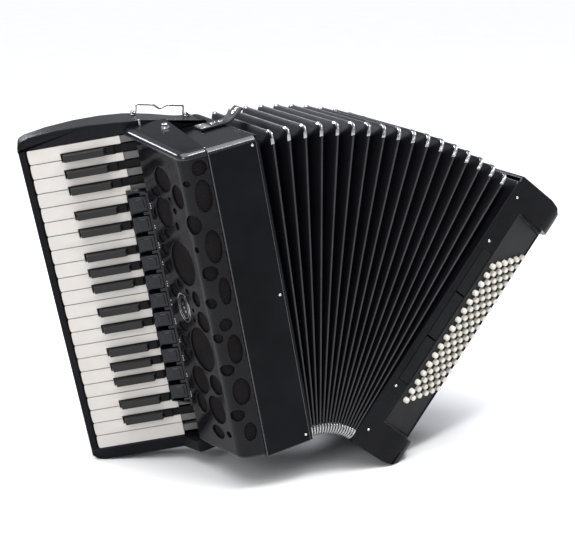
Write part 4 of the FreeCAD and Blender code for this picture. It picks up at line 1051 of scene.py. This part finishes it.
def loop2d(inset, rc, nc=6, ny=8, nz=16):
    # rounded rectangle as (rho, y), the same number of points for every call
    lo, hi, y0, y1 = R + inset, R + HGT - inset, inset, DEP - inset
    out = []
    corners = [((lo + rc, y0 + rc), 180), ((lo + rc, y1 - rc), 90), ((hi - rc, y1 - rc), 0), ((hi - rc, y0 + rc), -90)]
    # walk: bottom side from front to back, back side up, top side from back to front, front side down
    for idx, ((cr, cy), _) in enumerate(corners):
        start = [(-1, 0, 0, -1), (0, 1, -1, 0), (1, 0, 0, 1), (0, -1, 1, 0)][idx]
        for k in range(nc + 1):
            t = math.pi / 2 * k / nc
            if idx == 0:
                dr, dy = -math.sin(t), -math.cos(t)
            elif idx == 1:
                dr, dy = -math.cos(t), math.sin(t)
            elif idx == 2:
                dr, dy = math.sin(t), math.cos(t)
            else:
                dr, dy = math.cos(t), -math.sin(t)
            out.append((cr + rc * dr, cy + rc * dy))
        nxt = corners[(idx + 1) % 4][0]
        last = out[-1]
        if idx == 0:
            first = (lo, y1 - rc)
            cnt = ny
        elif idx == 1:
            first = (hi - rc, y1)
            cnt = nz
        elif idx == 2:
            first = (hi, y0 + rc)
            cnt = ny
        else:
            first = (lo + rc, y0)
            cnt = nz
        for k in range(1, cnt):
            f = k / cnt
            out.append((last[0] + (first[0] - last[0]) * f, last[1] + (first[1] - last[1]) * f))
    return out


def leaf_rows(k, half):
    # rows of the outer skin of fold k from its valley to its crest, as (share, inset, corner radius, dx, is tape); tape
    # rows get the lighter tape colour, which also paints the highlight along the crest
    s = (k + 0.5 * half) / N
    c = k / N
    rows = [(s, 20.0, 3.0, 0.0, 0)]
    for t in (0.3, 0.56):
        rows.append((s + (c - s) * t, 20.0 + (2.4 - 20.0) * t, 3.0 + 5.0 * t, half * 1.2 * t, 0))
    rows.append((s + (c - s) * 0.8, 5.6, 7.4, half * 1.25, 0))
    rows.append((s + (c - s) * 0.93, 3.3, 8.2, half * 1.22, 0))
    rows.append((c, 2.45, 8.6, half * 1.12, 1))
    rows.append((c, 1.9, 8.9, half * 0.8, 1))
    rows.append((c, 1.6, 9.0, half * 0.3, 1))
    return rows


def rows_to_faces(bm, rows, flip=False):
    loops = []
    for share, inset, rc, dx, tape in rows:
        loops.append([bm.verts.new(fan_point(share, r, y, dx)) for r, y in loop2d(inset, rc)])
    n = len(loops[0])
    for idx, (a, b) in enumerate(zip(loops[:-1], loops[1:])):
        mat = 1 if rows[idx][4] and rows[idx + 1][4] else 0
        for i in range(n):
            j = (i + 1) % n
            f = bm.faces.new((a[i], a[j], b[j], b[i]))
            f.material_index = mat
    return loops


def inner_rows(k, half):
    s, c = (k + 0.5 * half) / N, k / N
    return [(s, 21.6, 3.0, 0.0, 0), (s + (c - s) * 0.8, 7.6, 6.0, half * 0.3, 0), (c, 4.6, 7.0, half * 0.25, 0)]


def close(bm, a, b):
    n = len(a)
    for i in range(n):
        j = (i + 1) % n
        bm.faces.new((a[i], a[j], b[j], b[i]))


def inv_smooth(w):
    lo, hi = 0.0, 1.0
    for _ in range(50):
        m = (lo + hi) / 2
        if m * m * (3 - 2 * m) < w:
            lo = m
        else:
            hi = m
    return (lo + hi) / 2


CHAIN = ["treble", "bellows_mid_treble", "bellows_mid_bass", "bass"]
HALF = math.radians(FAN) / N / 2 * (R + HGT)


def blend_for(k, half):
    # half 0: the whole fold; -1 or 1: the half towards the treble or the bass side
    kk = k if half == 0 else k + 0.25 * half
    seg = min(2, int(kk // 6))
    w = (k - 6 * seg) / 6.0
    a = math.radians(FAN * k / N)
    c = TF @ Vector((R * math.sin(a), DEP / 2, -R + R * math.cos(a)))
    d = (TF.to_3x3() @ Vector((math.cos(a), 0, -math.sin(a)))).normalized()
    hm = HALF * 0.001
    if w <= 0.001:
        L = hm / inv_smooth(1 / 12.0)
        t0 = 0.0
    elif w >= 0.999:
        L = hm / inv_smooth(1 / 12.0)
        t0 = 1.0
    else:
        t0 = inv_smooth(w)
        L = 6 * t0 * (1 - t0) / ((1 / 12.0) / hm)
    return CHAIN[seg], CHAIN[seg + 1], c - d * (t0 * L), c + d * ((1 - t0) * L)


def cap_rows(k, halves):
    out = []
    for half in halves:
        s, c = (k + 0.5 * half) / N, k / N
        rows = [(s + (c - s) * 0.90, 3.5, 8.3, half * 1.5), (c, 2.05, 8.9, half * 1.4), (c, 1.45, 9.2, half * 1.0), (c, 1.08, 9.4, half * 0.45)]
        out.append(rows)
    if len(out) == 2:
        return out[0] + [(k / N, 1.02, 9.45, 0.0)] + out[1][::-1]
    return out[0] + [(k / N, 1.02, 9.45, 0.0)]


NC, NY_, NZ_ = 6, 8, 16


def corner_caps(k, halves):
    # thin nickel caps round the four corners of a crest
    bm = bmesh.new()
    rows = cap_rows(k, halves)
    for corner in range(4):
        grids = []
        for depth in (0.0, 0.3):
            g = []
            for share, inset, rc, dx in rows:
                inset2 = inset + depth
                pts = []
                lo, hi, y0, y1 = R + inset2, R + HGT - inset2, inset2, DEP - inset2
                cr, cy = [(lo + rc, y0 + rc), (lo + rc, y1 - rc), (hi - rc, y1 - rc), (hi - rc, y0 + rc)][corner]
                sr, sy = [(-1, -1), (-1, 1), (1, 1), (1, -1)][corner]
                # straight leg along rho, arc, straight leg along y
                leg_r, leg_y = 6.0, 5.0
                for f in (1.0, 0.5):
                    pts.append((cr - sr * leg_r * f, cy + sy * rc))
                for i in range(9):
                    t = math.pi / 2 * i / 8
                    pts.append((cr + sr * rc * math.sin(t), cy + sy * rc * math.cos(t)))
                for f in (0.5, 1.0):
                    pts.append((cr + sr * rc, cy - sy * leg_y * f))
                g.append([bm.verts.new(fan_point(share, r, y, dx * (1 - depth * 0.4))) for r, y in pts])
            grids.append(g)
        for g in grids:
            for a, b in zip(g[:-1], g[1:]):
                for i in range(len(a) - 1):
                    bm.faces.new((a[i], a[i + 1], b[i + 1], b[i]))
        ga, gb = grids
        for r in (0, -1):
            for i in range(len(ga[0]) - 1):
                bm.faces.new((ga[r][i], ga[r][i + 1], gb[r][i + 1], gb[r][i]))
        for i in (0, -1):
            for r in range(len(ga) - 1):
                bm.faces.new((ga[r][i], ga[r + 1][i], gb[r + 1][i], gb[r][i]))
    bmesh.ops.recalc_face_normals(bm, faces=bm.faces)
    return bm


fold_nodes = {3: "bellows_folds_1", 9: "bellows_folds_2", 14: "bellows_folds_3", 17: "bellows_folds_4"}


def fold_piece(k, halves, name):
    bm = bmesh.new()
    if len(halves) == 2:
        up = leaf_rows(k, -1)
        down = leaf_rows(k, 1)
        rows = up + [(k / N, 1.55, 9.0, 0.0, 1)] + down[::-1]
        loops = rows_to_faces(bm, rows)
        ir = inner_rows(k, -1) + inner_rows(k, 1)[::-1]
        il = rows_to_faces(bm, ir)
        close(bm, loops[0], il[0])
        close(bm, loops[-1], il[-1])
    else:
        half = halves[0]
        rows = leaf_rows(k, half) + [(k / N, 1.55, 9.0, 0.0, 1)]
        loops = rows_to_faces(bm, rows)
        ir = inner_rows(k, half)
        il = rows_to_faces(bm, ir)
        close(bm, loops[0], il[0])
        close(bm, loops[-1], il[-1])
    bmesh.ops.recalc_face_normals(bm, faces=bm.faces)
    return make(name, bm, TF, [M["card"], M["tape"]], None, [fold_nodes[k]] if k in fold_nodes else (), smooth=50, wn=False, blend=blend_for(k, 0 if len(halves) == 2 else halves[0]))


for k in range(1, N):
    if k in (6, 12):
        for half, tag in ((-1, "a"), (1, "b")):
            fold_piece(k, [half], "bellows_fold_%02d%s" % (k, tag))
            make("bellows_corners_%02d%s" % (k, tag), corner_caps(k, [half]), TF, [M["nickel"]], None, smooth=60, wn=False, blend=blend_for(k, half))
    else:
        fold_piece(k, [-1, 1], "bellows_fold_%02d" % k)
        make("bellows_corners_%02d" % k, corner_caps(k, [-1, 1]), TF, [M["nickel"]], None, smooth=60, wn=False, blend=blend_for(k, 0))
# half folds at the two frames
for k, half, nm in ((0, 1, "treble"), (N, -1, "bass")):
    bm = bmesh.new()
    s, c = (k + 0.5 * half) / N, k / N
    off = 2.35 * half
    rows = [(s, 20.0, 3.0, 0.0, 0), (s + (c - s) * 0.56, 10.2, 5.5, off * 0.56, 0), (s + (c - s) * 0.9, 3.6, 7.4, off * 0.95, 0), (c, 1.7, 8.0, off + 0.9 * half, 0), (c, 1.2, 8.2, off, 1)]
    loops = rows_to_faces(bm, rows)
    il = rows_to_faces(bm, [(s, 21.6, 3.0, 0.0, 0), (c, 6.0, 6.0, off, 0)])
    close(bm, loops[0], il[0])
    close(bm, loops[-1], il[-1])
    bmesh.ops.recalc_face_normals(bm, faces=bm.faces)
    make("bellows_end_" + nm, bm, TF, [M["card"], M["tape"]], None, smooth=50, wn=False, blend=blend_for(k, half))

# ================================================================== bass side
from_cad("bass_casing", "bass_case", [M["bass"]], "bass", 1.3, 3, 34, smooth=34, keep=lambda e: e.calc_length() > 6.0)
from_cad("bass_button_board", "bass_board", [M["board"]], "bass", 0.0)
from_cad("bass_mechanism", "bass_works", [M["alu"]], "bass")
from_cad("bass_reed_blocks", "bass_reed_bank", [M["wood"]], "bass", 0.4, 1)
from_cad("bass_back_cover", "bass_back_plate", [M["bass"]], "bass", 0.5, 2)
mdir = Vector((math.sin(PHI), -math.cos(PHI), 0))
for r in range(6):
    parts = []
    for c in range(16):
        x, y = J(14.8 + r * 10.48, 0)
        z = 84.8 + c * 14.2 + r * 7.6
        prof = [(0, -9.0), (3.7, -9.0), (3.95, -8.6), (3.95, 2.2), (3.9, 2.9), (3.7, 3.6), (3.3, 4.2), (2.7, 4.62), (1.9, 4.86), (1.0, 4.96), (0, 5.0)]
        parts.append(turned(lathe(prof, 22), aim((x, y, z), mdir)))
    make("bass_button_caps_%d" % (r + 1), merge(parts), BFR, [M["cream"]], "bass_buttons_row_%d" % (r + 1), ["bass_buttons_row_%d" % (r + 1)], smooth=50)
for i in range(3):
    z0 = 103.0 + 69.6 * i
    bar = bevel(tmp_box(8.0, 24.0, -0.35, 6.7, z0, z0 + 67.4), 0.7, 3)
    rib = [bevel(tmp_box(10.2, 21.8, -0.68, 0.3, z0 + 3.5 + 2.4 * j, z0 + 4.9 + 2.4 * j), 0.3, 1) for j in range(4)]
    rib += [bevel(tmp_box(10.2, 21.8, -0.68, 0.3, z0 + 62.6 - 2.4 * j, z0 + 64.0 - 2.4 * j), 0.3, 1) for j in range(4)]
    make("bass_register_bar_%d" % (i + 1), merge([bar] + rib), BFR, [M["board"]], "bass_register_%d" % (i + 1), ["bass_register_%d" % (i + 1)])
# hand strap
BO = 98.0
ctrl = [(BO + 2.3, 122, 27), (BO + 2.6, 122, 36), (BO + 7.6, 122, 52), (BO + 21.6, 122, 111), (BO + 29.6, 122, 170), (BO + 31.6, 122, 209), (BO + 29.6, 122, 247), (BO + 21.6, 122, 307), (BO + 7.6, 122, 365), (BO + 2.6, 122, 381), (BO + 2.3, 122, 390)]
path = smooth_path(ctrl, 8)


def hand_section(t):
    pad = 1.0 + 0.9 * max(0.0, 1 - abs(t - 0.5) * 2.6)
    out = []
    n = 16
    for i in range(n + 1):
        q = -1 + 2 * i / n
        groove = -0.45 * math.exp(-((abs(q) - 0.86) / 0.035) ** 2)
        out.append((29.4 * q, (1.1 + 0.9 * pad * (1 - abs(q) ** 3.2)) * (0.35 if abs(q) == 1 else 1) + groove))
    for i in range(n, -1, -1):
        q = -1 + 2 * i / n
        out.append((29.4 * q, -1.0 - 0.7 * pad * (1 - abs(q) ** 3.2) * 0.9 + (0.6 if abs(q) == 1 else 0)))
    return out


hs = make("bass_hand_strap", band(path, (0, 1, 0), hand_section), BFR, [M["leather_b"]], "bass", ["bass_strap"], smooth=55)
make("bass_hand_strap_stitches", merge(stitches(path[2:-2], (0, 1, 0), (-25.3, 25.3), 1.35, 3.0, 2.0, 0.3) + stitches(path[2:-2], (0, 1, 0), (-25.3, 25.3), -1.4, 3.0, 2.0, 0.3)), BFR, [M["thread"]], "bass")
parts = []
for zz in (31.0, 386.0):
    for yy in (104.0, 140.0):
        parts.append(turned(screw(2.6, 0.9), aim((BO + 4.2, yy, zz), (1, 0, 0))))
for zc, xc in ((25.0, 11.0), (93.0, 10.0), (321.0, 9.0), (390.0, 9.0)):
    parts.append(turned(screw(1.8, 0.6), aim((xc, 0, zc), (0, -1, 0))))
for zc in (25.0, 206.0, 393.0):
    parts.append(turned(screw(2.2, 0.68), aim((5.0, DEP, zc), (0, 1, 0))))
for zc in (36.0, 120.0, 209.0, 300.0, 382.0):
    for xc in (12.0, 64.0):
        parts.append(turned(screw(2.4, 0.85), aim((xc, DEP + 0.6, zc), (0, 1, 0))))
for zc, sg in ((418.0, 1.0), (-1.0, -1.0)):
    for xc in (12.0, 26.0):
        stud = lathe([(0, 0), (6.0, 0), (6.0, 0.6), (5.4, 1.0), (2.0, 1.1), (1.9, 2.2), (2.6, 2.8), (2.6, 3.5), (1.9, 4.1), (0, 4.2)], 24)
        parts.append(turned(stud, aim((xc, 98, zc), (0, 0, sg))))
make("bass_fixings", merge(parts), BFR, [M["chrome"]], "bass", ["bass_screws"])
air = lathe([(0, 0), (5.9, 0), (6.0, 0.3), (6.0, 11.2), (5.7, 12.1), (4.9, 12.7), (3.4, 12.6), (0, 12.2)], 32)
make("air_button_cap", turned(air, aim((BO + 6.0 - 13.0, 66, 330), (1, 0, 0))), BFR, [M["board"]], "air_button", ["air_button"])
# knurled wheel
bm = bmesh.new()
nn = 96
loops = []
for rr, yy in ((1.6, -3.5), (11.2, -3.5), (12.4, -3.2), (13.0, -2.6), (13.0, 2.6), (12.4, 3.2), (11.2, 3.5), (1.6, 3.5)):
    row = []
    for i in range(nn):
        a = 2 * math.pi * i / nn
        q = rr - (0.35 if rr > 12.9 and i % 3 == 0 else 0)
        row.append(bm.verts.new((q * math.cos(a), yy, q * math.sin(a))))
    loops.append(row)
for a, b in zip(loops, loops[1:] + loops[:1]):
    close(bm, a, b)
bmesh.ops.recalc_face_normals(bm, faces=bm.faces)
make("strap_wheel_knurled", turned(bm, Matrix.Translation((40, 120, 410.5))), BFR, [M["steel"]], "strap_wheel", ["strap_wheel"], smooth=25)

# ================================================================== stage
me = bpy.data.meshes.new("floor")
me.from_pydata([(-40, -40, 0), (40, -40, 0), (40, 40, 0), (-40, 40, 0)], [], [(0, 1, 2, 3)])
floor = bpy.data.objects.new("floor", me)
bpy.context.scene.collection.objects.link(floor)
fm = Mat("pale_floor")
fm.to("Base Color", fm.mix(fm.rng(fm.noise(6, 4), 0, 1), (0.86, 0.86, 0.86), (0.84, 0.84, 0.845)))
fm.to("Roughness", fm.rng(fm.noise(30, 3), 0.75, 0.9))
fm.set(Specular_IOR_Level=0.2)
me.materials.append(fm.m)

world = bpy.data.worlds.new("studio")
bpy.context.scene.world = world
world.use_nodes = True
bg = world.node_tree.nodes["Background"]
bg.inputs["Color"].default_value = (0.93, 0.95, 1.0, 1)
bg.inputs["Strength"].default_value = 0.42


def area(name, loc, target, size, size_y, energy, color=(1, 1, 1)):
    li = bpy.data.lights.new(name, "AREA")
    li.shape = "RECTANGLE"
    li.size, li.size_y, li.energy, li.color = size, size_y, energy, color
    ob = bpy.data.objects.new(name, li)
    ob.location = loc
    ob.rotation_euler = (Vector(target) - Vector(loc)).to_track_quat("-Z", "Y").to_euler()
    bpy.context.scene.collection.objects.link(ob)
    return ob


area("overhead_softbox", (0.40, -0.74, 2.2), (0, 0, 0.2), 1.3, 0.16, 26)
area("rear_softbox", (-1.2, 2.4, 1.8), (0, 0, 0.3), 2.4, 0.36, 56, (0.88, 0.90, 1.0))
area("key_softbox", (-2.2, -1.7, 1.5), (0, 0, 0.25), 0.9, 0.9, 22)
sun = bpy.data.lights.new("soft_sun", "SUN")
sun.energy, sun.angle = 2.6, math.radians(60)
so = bpy.data.objects.new("soft_sun", sun)
so.rotation_euler = (math.radians(12), math.radians(-14), 0)
bpy.context.scene.collection.objects.link(so)

cam = bpy.data.cameras.new("camera")
cam.lens, cam.sensor_width, cam.sensor_fit = 83.2445, 36.0, "AUTO"
cam.clip_end = 200
co = bpy.data.objects.new("camera", cam)
right, up, back = Vector((0.900104, -0.435526, 0.011394)), Vector((0.1036, 0.239366, 0.965386)), Vector((-0.423178, -0.867768, 0.260575))
m = Matrix((right, up, back)).transposed().to_4x4()
m.translation = Vector((-0.75945, -1.52725, 0.70965))
co.matrix_world = m
bpy.context.scene.collection.objects.link(co)
bpy.context.scene.camera = co
bpy.context.scene.view_settings.view_transform = "Standard"
bpy.context.scene.view_settings.look = "None"
